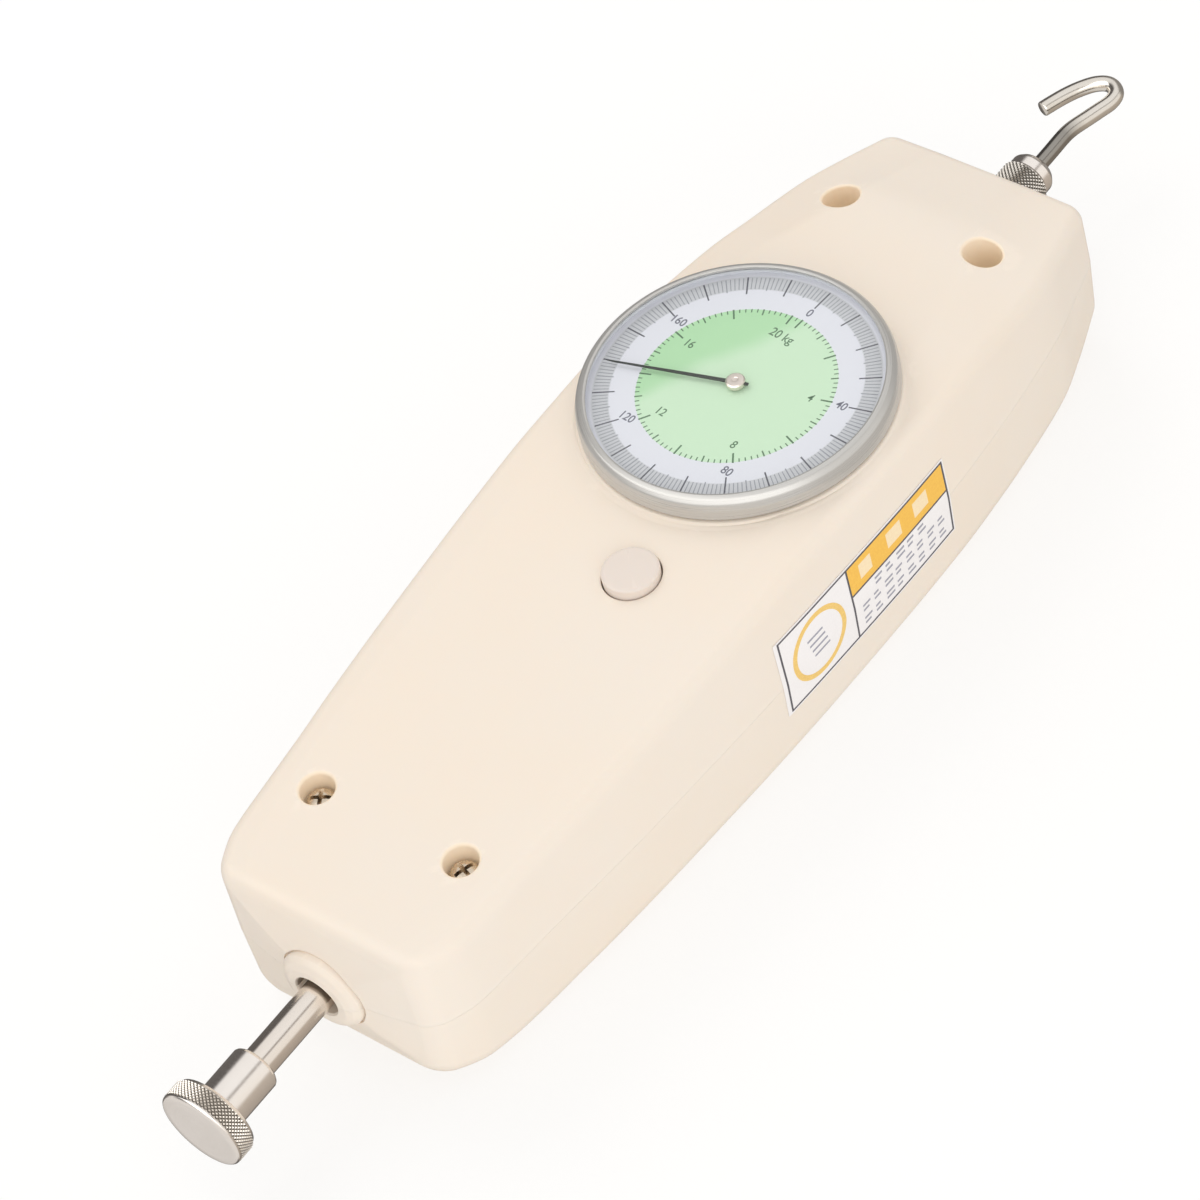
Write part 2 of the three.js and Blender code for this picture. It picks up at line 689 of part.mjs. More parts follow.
// [x, y]
const MOVEMENT_PLATE_OUTLINE = [
  [-22.5, -12], [-20, -13.5], [14, -13.5], [16, -12],
  [16, 30], [14, 32], [-20.5, 32], [-22.5, 30],
];
const movementPlate = () =>
  cut(
    plateZ(MOVEMENT_PLATE_OUTLINE, UPPER_Z0, UPPER_Z1),
    rodZ(0, 0, 1.08, 7, 11, 16),
    rodZ(WHEEL_X, WHEEL_Y, 0.85, 7, 11, 14),
    ...rodsZ([...PLATE_PILLARS, ...CUP_POSTS], 1.25, 7, 11, 14),
  );

// Pillar between two plates (faces at z0 and z1), with a thin spigot at each end
function pillar([x, y], { radius, z0, z1, tail, head }) {
  const spigotR = 1.15;
  const low = z0 + PILLAR_GAP;
  const high = z1 - PILLAR_GAP;
  return turned(
    [
      [0, low - tail], [spigotR, low - tail], [spigotR, low], [radius, low],
      [radius, high], [spigotR, high], [spigotR, high + head], [0, high + head],
    ],
    10,
    alongZ(x, y),
  );
}
const platePillar = (place) =>
  pillar(place, { radius: 2.2, z0: BASE_Z1, z1: UPPER_Z0, tail: 1.4, head: 1.3 });
const cupPost = (place) =>
  pillar(place, { radius: 2, z0: UPPER_Z1, z1: CUP_Z0, tail: 1.3, head: 1 });

// ---------------------------------------------------------------- dial, bezel and glass
// Low pan with a snap bead round its rim, which carries the bezel
function dialCup() {
  const pan = turned(
    [
      [2.4, CUP_Z0], [26.6, CUP_Z0], [27.5, 21.4], [27.5, 24.85], [27.95, 25.15],
      [27.5, 25.45], [25.9, 25.45], [25.9, 21.6], [2.4, 21.6],
    ],
    48,
    alongZ(0, 0),
  );
  return cut(pan, ...rodsZ(CUP_POSTS, 1.25, 20, 22, 14));
}

// Ring with a groove inside for the cup's bead and a lip over the glass
const bezelRing = () =>
  turned(
    [
      [BEZEL_BORE_R, BEZEL_Z0], [BEZEL_R, BEZEL_Z0], [BEZEL_R, 26.1], [28.6, 27],
      [28.15, 27.7], [27.5, 28.25], [26.9, BEZEL_Z1], [BEZEL_LIP_R, 28.35],
      [BEZEL_LIP_R, 27.86], [BEZEL_BORE_R, 27.86], [BEZEL_BORE_R, 25.8], [28.2, 25.5],
      [28.2, 24.7], [BEZEL_BORE_R, 24.4],
    ],
    48,
    alongZ(0, 0),
  );

const crystal = () =>
  turned(
    [
      [0, 28.35], [14, 28.25], [22, 28.02], [26.3, 27.7], [DIAL_R, GLASS_EDGE_Z0],
      [DIAL_R, GLASS_EDGE_Z1], [26.5, 27.84], [22, 28.55], [14, 28.95], [0, 29.1],
    ],
    48,
    alongZ(0, 0),
  );

const dialSpacerRing = () => tubeZ(0, 0, 26.9, DIAL_R, DIAL_Z + 0.02, GLASS_EDGE_Z0 - 0.04, 48);
const dialPlate = () =>
  cut(rodZ(0, 0, DIAL_R, DIAL_Z - 0.85, DIAL_Z, 48), rodZ(0, 0, 2.2, 20, 30, 14));

// Tapered hand with a short tail and a round hub
function pointer() {
  const topZ = 27.52;
  const shoulder = POINTER_LENGTH - 1.2; // where the tip starts
  const dirX = Math.sin(POINTER_ANGLE);
  const dirY = Math.cos(POINTER_ANGLE);
  // [distance along the hand, offset across it]
  const outline = [
    [-3.2, -0.55], [shoulder, -0.26], [POINTER_LENGTH, 0], [shoulder, 0.26], [-3.2, 0.55],
  ].map(([along, across]) => [dirX * along - dirY * across, dirY * along + dirX * across]);
  const hand = join(plateZ(outline, 27.2, topZ), rodZ(0, 0, 1.7, 27, topZ, 14));
  return cut(hand, rodZ(0, 0, 0.82, 26, 29, 14));
}

const pointerHubCap = () =>
  turned(
    [
      [0, 27.98], [0.82, 27.98], [0.82, 27.56], [1.75, 27.56],
      [1.75, 27.85], [1.4, 28.1], [0, 28.1],
    ],
    14,
    alongZ(0, 0),
  );

// Flat disc with a hub, round the pointer arbor
const brakeDisc = () =>
  turned(
    [[1.04, 13.6], [2.4, 13.6], [2.4, 15.4], [9, 15.4], [9, 16.2], [1.04, 16.2]],
    28,
    alongZ(0, 0),
  );

// ---------------------------------------------------------------- release button and brake lever
// Hollow cap on a thin stem
const releaseButton = () =>
  turned(
    [
      [0, 14.6], [0.75, 14.6], [0.75, 15], [1, 15], [1, 22.2], [4.1, 22.2], [4.1, 18.9],
      [BUTTON_R, 18.9], [BUTTON_R, 23.2], [BUTTON_R - 0.4, 23.6], [0, 23.6],
    ],
    24,
    alongZ(BUTTON_X, BUTTON_Y),
  );

const buttonClip = () => tubeZ(BUTTON_X, BUTTON_Y, 0.8, 2.2, 14.62, 14.98, 12);

function buttonSpring() {
  const turns = 5;
  const coil = new Helix({
    radius: 2.9,
    start: 17.2,
    end: 21.85,
    turns,
    place: (across, up, along) => [BUTTON_X + across, BUTTON_Y + up, along],
  });
  return wire(coil, 0.3, 4, turns * 8);
}

function buttonBracket() {
  const footZ = BASE_Z1 + SEAT_GAP;
  const body = join(
    boxAt(-12, 15, -45, -37, 15.3, 16.5),
    boxAt(-12, -10.8, -45, -37, footZ, 16),
    boxAt(13.8, 15, -45, -37, footZ, 16),
  );
  return cut(body, rodZ(BUTTON_X, BUTTON_Y, 1.15, 14, 18, 16));
}

// Rocker's side outline, [y, z]
const LEVER_OUTLINE = [
  [-44, 12.9], [-26.2, 12], [-25.2, 11.1], [-22.8, 11.1], [-21.4, 12.4], [-9.5, 16.5],
  [-4.2, 16.5], [-4.2, 17.7], [-9.9, 17.7], [-22.4, 14.9], [-25.4, 14.9], [-27, 14.3],
  [-44, 14.3],
];
function brakeLever() {
  const x0 = 3.4;
  const width = 6.2;
  // outline x -> y, outline y -> z, depth -> x
  const acrossX = new THREE.Matrix4().set(0, 0, 1, x0, 1, 0, 0, 0, 0, 1, 0, 0, 0, 0, 0, 1);
  const body = extruded(LEVER_OUTLINE, width, acrossX);
  return cut(body, rodX(LEVER_Y, LEVER_Z, 1.06, 0, 14, 16));
}

const leverPin = () => rodX(LEVER_Y, LEVER_Z, 0.98, 0.3, 12.5, 16);

// ---------------------------------------------------------------- fittings on the shaft's ends
// Compression disc with a sleeve over the shaft
const pushTip = () =>
  turned(
    [
      [0, -159.6], [7.6, -159.6], [8.3, -158.9], [8.3, -155.7], [7.6, -155], [4.5, -155],
      [4.5, -145], [3.9, -144.3], [SHAFT_BORE_R, -144.3], [SHAFT_BORE_R, -152.3], [0, -152.3],
    ],
    28,
  );

const hookCollar = () =>
  turned(
    [
      [0, 83.4], [SHAFT_BORE_R, 83.4], [SHAFT_BORE_R, 77.5], [4.4, 77.5], [4.9, 78],
      [4.9, 84.1], [4.4, 84.6], [4.4, 86.8], [3.1, 88.1], [1.6, 88.1], [1.6, 84.5], [0, 84.5],
    ],
    20,
  );

// Centre line of the hook's wire, [x, y]
const HOOK_PATH = [
  [0, 84.7], [0, 92], [0, 98], [0.35, 99.9], [1.3, 102.9], [2.2, 105.9], [2.95, 108.6],
  [2.5, 111], [0.2, 112.4], [-2.1, 111.5], [-4.2, 109], [-5.7, 106.3], [-6.8, 103.6],
  [-7.8, 100.8],
];
function hook() {
  const points = HOOK_PATH.map(([x, y]) => new THREE.Vector3(x, y, 0));
  return wire(new THREE.CatmullRomCurve3(points, false, "centripetal"), 1.5, 8, 32);
}

// ---------------------------------------------------------------- label on the +X side wall
function sideLabel() {
  const ys = [-36.2, -22, 0, 13.85];
  const zs = [10.6, 0, -8.4];
  const innerGap = 0.07; // from the wall to each face of the label
  const outerGap = 0.27;
  const wallX = (y, z) => {
    const [, halfWidth, edgeZ, , , backZ] = stationAt(y);
    return halfWidth - (z >= 0 ? (FRONT_LEAN * z) / edgeZ : (BACK_LEAN * z) / backZ);
  };
  const rings = ys.map((y) => {
    const face = (gap) => zs.map((z) => [wallX(y, z) + gap, y, z]);
    return [...face(innerGap), ...face(outerGap).reverse()];
  });
  return ringLoft(rings);
}

// ---------------------------------------------------------------- assembly
const part = new THREE.Group();
part.position.z = AXIS_Z;

function add(name, body, material) {
  const finish = new THREE.MeshStandardMaterial(MATERIALS[material]);
  const mesh = new THREE.Mesh(geometryOf(body), finish);
  mesh.name = name;
  part.add(mesh);
}
// one numbered piece for each entry of a table
const addEach = (name, entries, build, material) =>
  entries.forEach((entry, i) => add(`${name}_${i + 1}`, build(entry, i), material));

const shell = caseShell();
add("front_shell", frontHalf(shell), "caseFront");
add("rear_shell", rearHalf(shell), "caseRear");
addEach("case_screw", CASE_SCREWS, caseScrew, "screw");

add("frame_plate", framePlate(), "steel");
addEach("frame_screw", STANDOFFS, frameScrew, "screw");
add("shaft_bush_disc_end", shaftBush(DISC_WALL_Y), "brass");
add("shaft_bush_hook_end", shaftBush(HOOK_WALL_Y), "brass");

add("main_shaft", mainShaft(), "bright");
add("spring_collar", springCollar(), "brass");
add("main_spring", mainSpring(), "steel");
add("rack_bar", rackBar(), "steel");
addEach("rack_screw", RACK_SCREW_YS, rackScrew, "screw");

add("wheel_arbor", wheelArbor(), "steel");
add("gear_wheel", gearWheel(), "brass");
add("pointer_arbor", pointerArbor(), "steel");
add("arbor_bridge", arborBridge(), "steel");
add("movement_plate", movementPlate(), "brass");
addEach("plate_pillar", PLATE_PILLARS, platePillar, "brass");
addEach("cup_post", CUP_POSTS, cupPost, "brass");

add("dial_cup", dialCup(), "black");
add("bezel_ring", bezelRing(), "aluminium");
add("crystal", crystal(), "glass");
add("dial_spacer_ring", dialSpacerRing(), "dial");
add("dial_plate", dialPlate(), "dial");
add("pointer", pointer(), "black");
add("pointer_hub_cap", pointerHubCap(), "bright");
add("brake_disc", brakeDisc(), "aluminium");

add("release_button", releaseButton(), "button");
add("button_clip", buttonClip(), "steel");
add("button_spring", buttonSpring(), "steel");
add("button_bracket", buttonBracket(), "steel");
add("brake_lever", brakeLever(), "steel");
add("lever_pin", leverPin(), "bright");

add("push_tip", pushTip(), "bright");
add("hook_collar", hookCollar(), "bright");
add("hook", hook(), "bright");
add("side_label", sideLabel(), "label");

export default part;
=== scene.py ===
import bpy
import math
import numpy as np
from mathutils import Matrix, Vector


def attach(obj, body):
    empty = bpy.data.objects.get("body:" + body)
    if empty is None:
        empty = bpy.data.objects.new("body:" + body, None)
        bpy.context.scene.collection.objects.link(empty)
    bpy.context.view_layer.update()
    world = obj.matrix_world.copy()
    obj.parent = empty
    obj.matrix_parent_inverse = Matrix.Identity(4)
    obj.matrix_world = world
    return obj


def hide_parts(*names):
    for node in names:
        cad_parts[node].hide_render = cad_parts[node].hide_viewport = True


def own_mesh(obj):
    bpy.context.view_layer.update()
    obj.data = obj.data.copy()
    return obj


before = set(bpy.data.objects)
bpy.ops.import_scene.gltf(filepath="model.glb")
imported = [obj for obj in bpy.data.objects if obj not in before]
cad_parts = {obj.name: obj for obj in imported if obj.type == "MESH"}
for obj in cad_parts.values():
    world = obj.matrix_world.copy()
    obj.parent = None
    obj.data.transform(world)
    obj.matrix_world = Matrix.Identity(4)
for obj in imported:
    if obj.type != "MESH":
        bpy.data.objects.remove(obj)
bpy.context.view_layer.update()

# ------------------------------------------------------------------ shared sizes
AXIS = 20.2  # height of the shaft axis above the flat back
SHAFT_RADIUS = 3
SHAFT_FIT = 3.06  # bore of the pieces that sit on the shaft
BORE_RADIUS = 4.3  # shaft holes through the case ends

# case screws: x, y, seat z, well radius, post radius, screw length
CASE_SCREWS = [
    (-15.75, -102.4, 13.2, 3.15, 4.5, 18),
    (15.75, -102.4, 13.2, 3.15, 4.5, 18),
    (-15.6, 51.65, 8.4, 3.5, 5, 13.5),
    (15.6, 51.65, 8.4, 3.5, 5, 13.5),
]
STANDOFFS = [(-7, -98), (7, -98), (-7, 44), (7, 44)]  # x, y of the inner frame's posts
BUTTON_AT = (6.5, -41.0)
BUTTON_RADIUS = 5.2

DISC_KNURL = (8.3, 0.34)  # outer radius, groove depth
HOLDER_KNURL = (4.9, 0.34)
RACK_SCREWS_Y = [-1.6, 20.6]


# ------------------------------------------------------------------ mesh helpers
def outward(verts, faces):
    """the faces, all reversed if they enclose a negative volume"""
    volume = 0.0
    for face in faces:
        first = verts[face[0]]
        for i in range(1, len(face) - 1):
            volume += float(np.dot(first, np.cross(verts[face[i]], verts[face[i + 1]])))
    return faces if volume > 0 else [tuple(reversed(face)) for face in faces]


def solid(verts, faces, orient=True):
    """a mesh object, still in millimetres about the shaft axis"""
    verts = np.asarray(verts, float)
    if orient:
        faces = outward(verts, faces)
    mesh = bpy.data.meshes.new("part")
    mesh.from_pydata([tuple(p) for p in verts], [], [tuple(int(i) for i in f) for f in faces])
    mesh.validate()
    mesh.update()
    ob = bpy.data.objects.new("part", mesh)
    bpy.context.scene.collection.objects.link(ob)
    return ob


def evaluated_mesh(ob):
    depsgraph = bpy.context.evaluated_depsgraph_get()
    return bpy.data.meshes.new_from_object(ob.evaluated_get(depsgraph))


def swap_mesh(ob, mesh):
    old = ob.data
    ob.data = mesh
    bpy.data.meshes.remove(old)


def boolean(body, tool, operation):
    for solver in ("MANIFOLD", "EXACT"):
        modifier = body.modifiers.new("cut", "BOOLEAN")
        modifier.object = tool
        modifier.operation = operation
        # guards a Blender that has no manifold solver
        try:
            modifier.solver = solver
        except TypeError:
            body.modifiers.clear()
            continue
        mesh = evaluated_mesh(body)
        body.modifiers.clear()
        if len(mesh.polygons):
            swap_mesh(body, mesh)
            break
    bpy.data.objects.remove(tool)
    return body


def cut(body, *tools):
    for tool in tools:
        boolean(body, tool, "DIFFERENCE")
    return body


def merge(body, *tools):
    for tool in tools:
        boolean(body, tool, "UNION")
    return body


def copy_of(ob):
    twin = ob.copy()
    twin.data = ob.data.copy()
    bpy.context.scene.collection.objects.link(twin)
    return twin


def place(ob, name, materials, body, *nodes, slot=None, angle=35, flat=False):
    """name it, take it to metres, shade it smooth with sharp edges kept, and put it on its body"""
    ob.name = name
    mesh = ob.data
    mesh.name = name
    mesh.transform(Matrix.Scale(0.001, 4) @ Matrix.Translation((0, 0, AXIS)))
    if not flat:
        mesh.polygons.foreach_set("use_smooth", [True] * len(mesh.polygons))
        mesh.set_sharp_from_angle(angle=math.radians(angle))
        normals = ob.modifiers.new("even_normals", "WEIGHTED_NORMAL")
        normals.keep_sharp = True
        normals.weight = 50
    mesh.materials.clear()
    for key in materials if isinstance(materials, tuple) else (materials,):
        mesh.materials.append(MATERIALS[key])
    mesh.update()
    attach(ob, body)
    if nodes:
        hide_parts(*nodes)
    return ob


def rounded(profile, arc_steps=5):
    """points of a profile of (a, b) or (a, b, radius): corners with a radius become arcs"""
    points = [np.array(p[:2], float) for p in profile]
    radii = [p[2] if len(p) > 2 else 0.0 for p in profile]
    closed = np.allclose(points[0], points[-1])
    if closed:
        points, radii = points[:-1], radii[:-1]
    out = []
    count = len(points)
    for i in range(count):
        corner_at = points[i]
        if radii[i] <= 0 or (not closed and i in (0, count - 1)):
            out.append(corner_at)
            continue
        back = points[i - 1] - corner_at
        ahead = points[(i + 1) % count] - corner_at
        back_length, ahead_length = np.linalg.norm(back), np.linalg.norm(ahead)
        back, ahead = back / back_length, ahead / ahead_length
        half = math.acos(max(-1, min(1, float(back @ ahead)))) / 2
        if half > math.pi / 2 - 0.02:  # nearly straight
            out.append(corner_at)
            continue
        reach = min(radii[i] / math.tan(half), 0.48 * back_length, 0.48 * ahead_length)
        radius = reach * math.tan(half)
        bisector = (back + ahead) / np.linalg.norm(back + ahead)
        centre = corner_at + bisector * (radius / math.sin(half))
        start = corner_at + back * reach - centre
        end = corner_at + ahead * reach - centre
        start_angle = math.atan2(start[1], start[0])
        swing = math.atan2(end[1], end[0]) - start_angle
        swing = (swing + math.pi) % (2 * math.pi) - math.pi
        for k in range(arc_steps + 1):
            angle = start_angle + swing * k / arc_steps
            out.append(centre + radius * np.array([math.cos(angle), math.sin(angle)]))
    if closed:
        out.append(out[0])
    return out


def band(first, second, swap=False):
    """quads between two closed rings of vertex numbers; swap turns them the other way round"""
    faces = []
    for k in range(len(first)):
        j = (k + 1) % len(first)
        if swap:
            faces.append((first[k], second[k], second[j], first[j]))
        else:
            faces.append((first[k], first[j], second[j], second[k]))
    return faces


def turned(profile, segments=96, at=(0, 0), axis="z", arc_steps=5):
    """body of revolution; profile of (radius, height[, corner radius]), heights along the axis"""
    points = rounded(profile, arc_steps)
    ring = np.allclose(points[0], points[-1])
    if ring:
        points = points[:-1]
    verts, rows = [], []
    for radius, height in points:
        if radius < 1e-6:
            rows.append([len(verts)])
            verts.append((0, 0, height))
        else:
            rows.append(list(range(len(verts), len(verts) + segments)))
            for k in range(segments):
                angle = 2 * math.pi * k / segments
                verts.append((radius * math.cos(angle), radius * math.sin(angle), height))
    faces = []
    for low, high in list(zip(rows, rows[1:])) + ([(rows[-1], rows[0])] if ring else []):
        if len(low) > 1 and len(high) > 1:
            faces += band(low, high)
            continue
        for k in range(segments):
            j = (k + 1) % segments
            if len(low) == 1:
                faces.append((low[0], high[j], high[k]))
            else:
                faces.append((low[k], low[j], high[0]))
    v = np.array(verts, float)
    if axis == "z":
        v = v + np.array([at[0], at[1], 0])
    elif axis == "y":
        v = np.stack([v[:, 0], v[:, 2], -v[:, 1]], 1) + np.array([at[0], 0, at[1]])
    else:
        v = np.stack([v[:, 2], v[:, 0], v[:, 1]], 1) + np.array([0, at[0], at[1]])
    return solid(v, faces)


def rod(radius, low, high, at=(0, 0), segments=48, axis="z"):
    return turned([(0, low), (radius, low), (radius, high), (0, high)], segments, at, axis)


def drills(radius, low, high, places):
    """cutters for round holes along z at a list of (x, y)"""
    return [rod(radius, low, high, at, 32) for at in places]


def box(x0, x1, y0, y1, z0, z1):
    verts = [(x, y, z) for x in (x0, x1) for y in (y0, y1) for z in (z0, z1)]
    faces = [(0, 1, 3, 2), (4, 6, 7, 5), (0, 4, 5, 1), (2, 3, 7, 6), (0, 2, 6, 4), (1, 5, 7, 3)]
    return solid(verts, faces)


# faces of a four-sided prism: four vertices below, the four above them
PRISM_FACES = [(3, 2, 1, 0), (4, 5, 6, 7), (0, 1, 5, 4), (1, 2, 6, 5), (2, 3, 7, 6), (3, 0, 4, 7)]


def plate(outline, z0, z1):
    """flat plate from a closed outline of (x, y)"""
    count = len(outline)
    verts = [(x, y, z0) for x, y in outline] + [(x, y, z1) for x, y in outline]
    low, high = list(range(count)), list(range(count, 2 * count))
    return solid(verts, [tuple(reversed(low)), tuple(high)] + band(low, high))


def soften(ob, width):
    """small rounded edges"""
    bevel = ob.modifiers.new("edges", "BEVEL")
    bevel.width = width
    bevel.segments = 2
    bevel.limit_method = "ANGLE"
    bevel.angle_limit = math.radians(40)
    bevel.use_clamp_overlap = True
    mesh = evaluated_mesh(ob)
    ob.modifiers.clear()
    swap_mesh(ob, mesh)
    return ob


def sweep(path, radius, sides):
    """round wire along points, its frame carried along, with flat ends that have a small chamfer"""
    path = np.asarray(path, float)
    tangents = np.gradient(path, axis=0)
    tangents /= np.linalg.norm(tangents, axis=1)[:, None]
    normal = np.cross(tangents[0], [0.13, 0.2, 0.97])
    normals = [normal / np.linalg.norm(normal)]
    for tangent in tangents[1:]:
        normal = normals[-1] - tangent * (normals[-1] @ tangent)
        normals.append(normal / np.linalg.norm(normal))
    normals = np.array(normals)
    binormals = np.cross(tangents, normals)
    chamfer = radius * 0.22

    def end_rings(i, sign):
        """the two chamfer rings beyond an end, and the middle of its face"""
        rise, inward = math.sin(math.pi / 4), math.cos(math.pi / 4)
        middle = path[i] + tangents[i] * sign * chamfer * rise
        tip = path[i] + tangents[i] * sign * chamfer
        return [
            (middle, normals[i], binormals[i], radius - chamfer + chamfer * inward),
            (tip, normals[i], binormals[i], radius - chamfer),
        ], tip

    head, head_tip = end_rings(0, -1)
    tail, tail_tip = end_rings(len(path) - 1, 1)
    rings = [(path[i], normals[i], binormals[i], radius) for i in range(len(path))]
    rings = list(reversed(head)) + rings + tail
    verts = []
    for centre, normal, binormal, ring_radius in rings:
        for k in range(sides):
            angle = 2 * math.pi * k / sides
            spoke = math.cos(angle) * normal + math.sin(angle) * binormal
            verts.append(centre + ring_radius * spoke)
    rows = [list(range(i * sides, (i + 1) * sides)) for i in range(len(rings))]
    faces = []
    for low, high in zip(rows, rows[1:]):
        faces += band(low, high)
    first_tip = len(verts)
    verts += [head_tip, tail_tip]
    for k in range(sides):
        j = (k + 1) % sides
        faces.append((first_tip, j, k))
        faces.append((first_tip + 1, rows[-1][k], rows[-1][j]))
    return solid(verts, faces)


def gather(obs):
    """several closed shells kept as one piece"""
    verts, faces = [], []
    for ob in obs:
        base = len(verts)
        mesh = ob.data
        verts += [tuple(v.co) for v in mesh.vertices]
        faces += [tuple(base + i for i in p.vertices) for p in mesh.polygons]
        bpy.data.objects.remove(ob)
        bpy.data.meshes.remove(mesh)
    return solid(verts, faces, orient=False)


def monotone_curve(places, values):
    """smooth interpolation (PCHIP) that never overshoots its stations"""
    places, values = np.asarray(places, float), np.asarray(values, float)
    gaps = np.diff(places)
    rates = np.diff(values) / gaps
    slopes = np.zeros_like(values)
    for i in range(1, len(places) - 1):
        if rates[i - 1] * rates[i] > 0:
            before = 2 * gaps[i] + gaps[i - 1]
            after = gaps[i] + 2 * gaps[i - 1]
            slopes[i] = (before + after) / (before / rates[i - 1] + after / rates[i])
    slopes[0], slopes[-1] = rates[0], rates[-1]

    def curve(x):
        x = np.clip(x, places[0], places[-1])
        i = np.clip(np.searchsorted(places, x, side="right") - 1, 0, len(places) - 2)
        t = (x - places[i]) / gaps[i]
        return (
            values[i] * (1 + 2 * t) * (1 - t) ** 2
            + slopes[i] * gaps[i] * t * (1 - t) ** 2
            + values[i + 1] * t * t * (3 - 2 * t)
            + slopes[i + 1] * gaps[i] * t * t * (t - 1)
        )

    return curve


# ------------------------------------------------------------------ shader helpers
class Shader:
    """a node tree with short ways to add the nodes used here; lengths in it are metres"""

    def __init__(self, owner, output):
        owner.use_nodes = True
        self.tree = owner.node_tree
        self.tree.nodes.clear()
        self.output = self.add(output)

    def add(self, kind, inputs=None, **settings):
        node = self.tree.nodes.new("ShaderNode" + kind)
        for key, value in settings.items():
            setattr(node, key, value)
        for key, value in (inputs or {}).items():
            if isinstance(value, bpy.types.NodeSocket):
                self.tree.links.new(value, node.inputs[key])
            else:
                node.inputs[key].default_value = value
        return node

    def finish(self, shader):
        self.tree.links.new(shader.outputs[0], self.output.inputs[0])

    def coords(self):
        return self.add("TexCoord").outputs["Object"]

    def split(self, vector):
        return self.add("SeparateXYZ", {0: vector}).outputs

    def math(self, operation, first, second=None):
        inputs = {0: first} if second is None else {0: first, 1: second}
        return self.add("Math", inputs, operation=operation).outputs[0]

    def times(self, first, second):
        return self.math("MULTIPLY", first, second)

    def plus(self, first, second):
        return self.math("ADD", first, second)

    def minus(self, first, second):
        return self.math("SUBTRACT", first, second)

    def length(self, x, y):
        return self.math("SQRT", self.plus(self.times(x, x), self.times(y, y)))

    def mix(self, factor, first, second):
        inputs = {"Factor": factor, 6: first, 7: second}
        return self.add("Mix", inputs, data_type="RGBA").outputs[2]

    def mix_shader(self, factor, first, second):
        inputs = {0: factor, 1: first.outputs[0], 2: second.outputs[0]}
        return self.add("MixShader", inputs)

    def noise(self, vector, scale, detail=3, rough=0.5):
        inputs = {"Scale": scale, "Detail": detail, "Roughness": rough, "Vector": vector}
        return self.add("TexNoise", inputs).outputs["Fac"]

    def remap(self, value, span, to=(0.0, 1.0), **settings):
        inputs = {"Value": value, "From Min": span[0], "From Max": span[1]}
        inputs.update({"To Min": to[0], "To Max": to[1]})
        return self.add("MapRange", inputs, **settings).outputs[0]

    def bump(self, height, strength, distance=0.00001):
        inputs = {"Strength": strength, "Distance": distance, "Height": height}
        return self.add("Bump", inputs).outputs[0]

    def ramp(self, value, stops):
        node = self.add("ValToRGB", {"Fac": value})
        elements = node.color_ramp.elements
        while len(elements) < len(stops):
            elements.new(0.5)
        for element, (position, colour) in zip(elements, stops):
            element.position = position
            element.color = tuple(colour) + (1,)
        return node.outputs["Color"]

    def fade(self, value, low, high, falling=False):
        """black to white between two values, or white to black"""
        ends = [(0, 0, 0), (1, 1, 1)]
        if falling:
            ends.reverse()
        return self.ramp(value, [(low, ends[0]), (high, ends[1])])

    def radial(self, coords, plane):
        """radius, the two offsets from the axis, and the place along it: xy dial, xz shaft"""
        across, centre, along = {
            "xy": ((0, 1), (0.0, 0.0), 2),
            "xz": ((0, 2), (0.0, AXIS / 1000), 1),
        }[plane]
        parts = self.split(coords)
        x, y = (self.minus(parts[i], middle) for i, middle in zip(across, centre))
        return self.length(x, y), x, y, parts[along]


def new_material(name):
    material = bpy.data.materials.new(name)
    return material, Shader(material, "OutputMaterial")


def srgb(*levels):
    """linear colour from 0-255 display levels"""
    linear = []
    for level in levels:
        level /= 255.0
        linear.append(level / 12.92 if level <= 0.04045 else ((level + 0.055) / 1.055) ** 2.4)
    return tuple(linear) + (1.0,)


def tint(colour, factors, lift=0.0):
    return tuple(np.clip(np.array(colour)[:3] * np.array(factors) + lift, 0, 1)) + (1,)


# ------------------------------------------------------------------ kinds of material
def well_glow(g, coords, base):
    """painted light: the deep screw wells are painted a warm tan and glow as thin plastic does when
    light shines through it; painted shade darkens the shaft holes
    """
    x, y, z = g.split(coords)
    side = g.math("ABSOLUTE", x)
    near = []
    for _, screw_y, _, radius, _, _ in CASE_SCREWS[1::2]:
        screw_x = CASE_SCREWS[1][0] if screw_y < 0 else CASE_SCREWS[3][0]
        distance = g.length(g.minus(side, screw_x / 1000), g.minus(y, screw_y / 1000))
        edge = (radius + 0.2) / 1000
        near.append(g.remap(distance, span=(edge, edge + 0.0004), to=(1.0, 0.0)))
    well_light = g.math("MAXIMUM", near[0], near[1])
    from_axis = g.length(x, g.minus(z, AXIS / 1000))
    bore = BORE_RADIUS / 1000
    # painted shade: dark brown in and round the shaft bores, where shade falls
    bore_shade = g.remap(from_axis, span=(bore, bore + 0.0004), to=(0.8, 0.0))
    base = g.mix(bore_shade, base, srgb(96, 78, 58))
    # painted light: the screw wells turn a lighter warm tan, and the returned share makes them glow
    base = g.mix(g.times(well_light, 0.40), base, srgb(240, 219, 186))
    return base, g.times(well_light, 0.11)


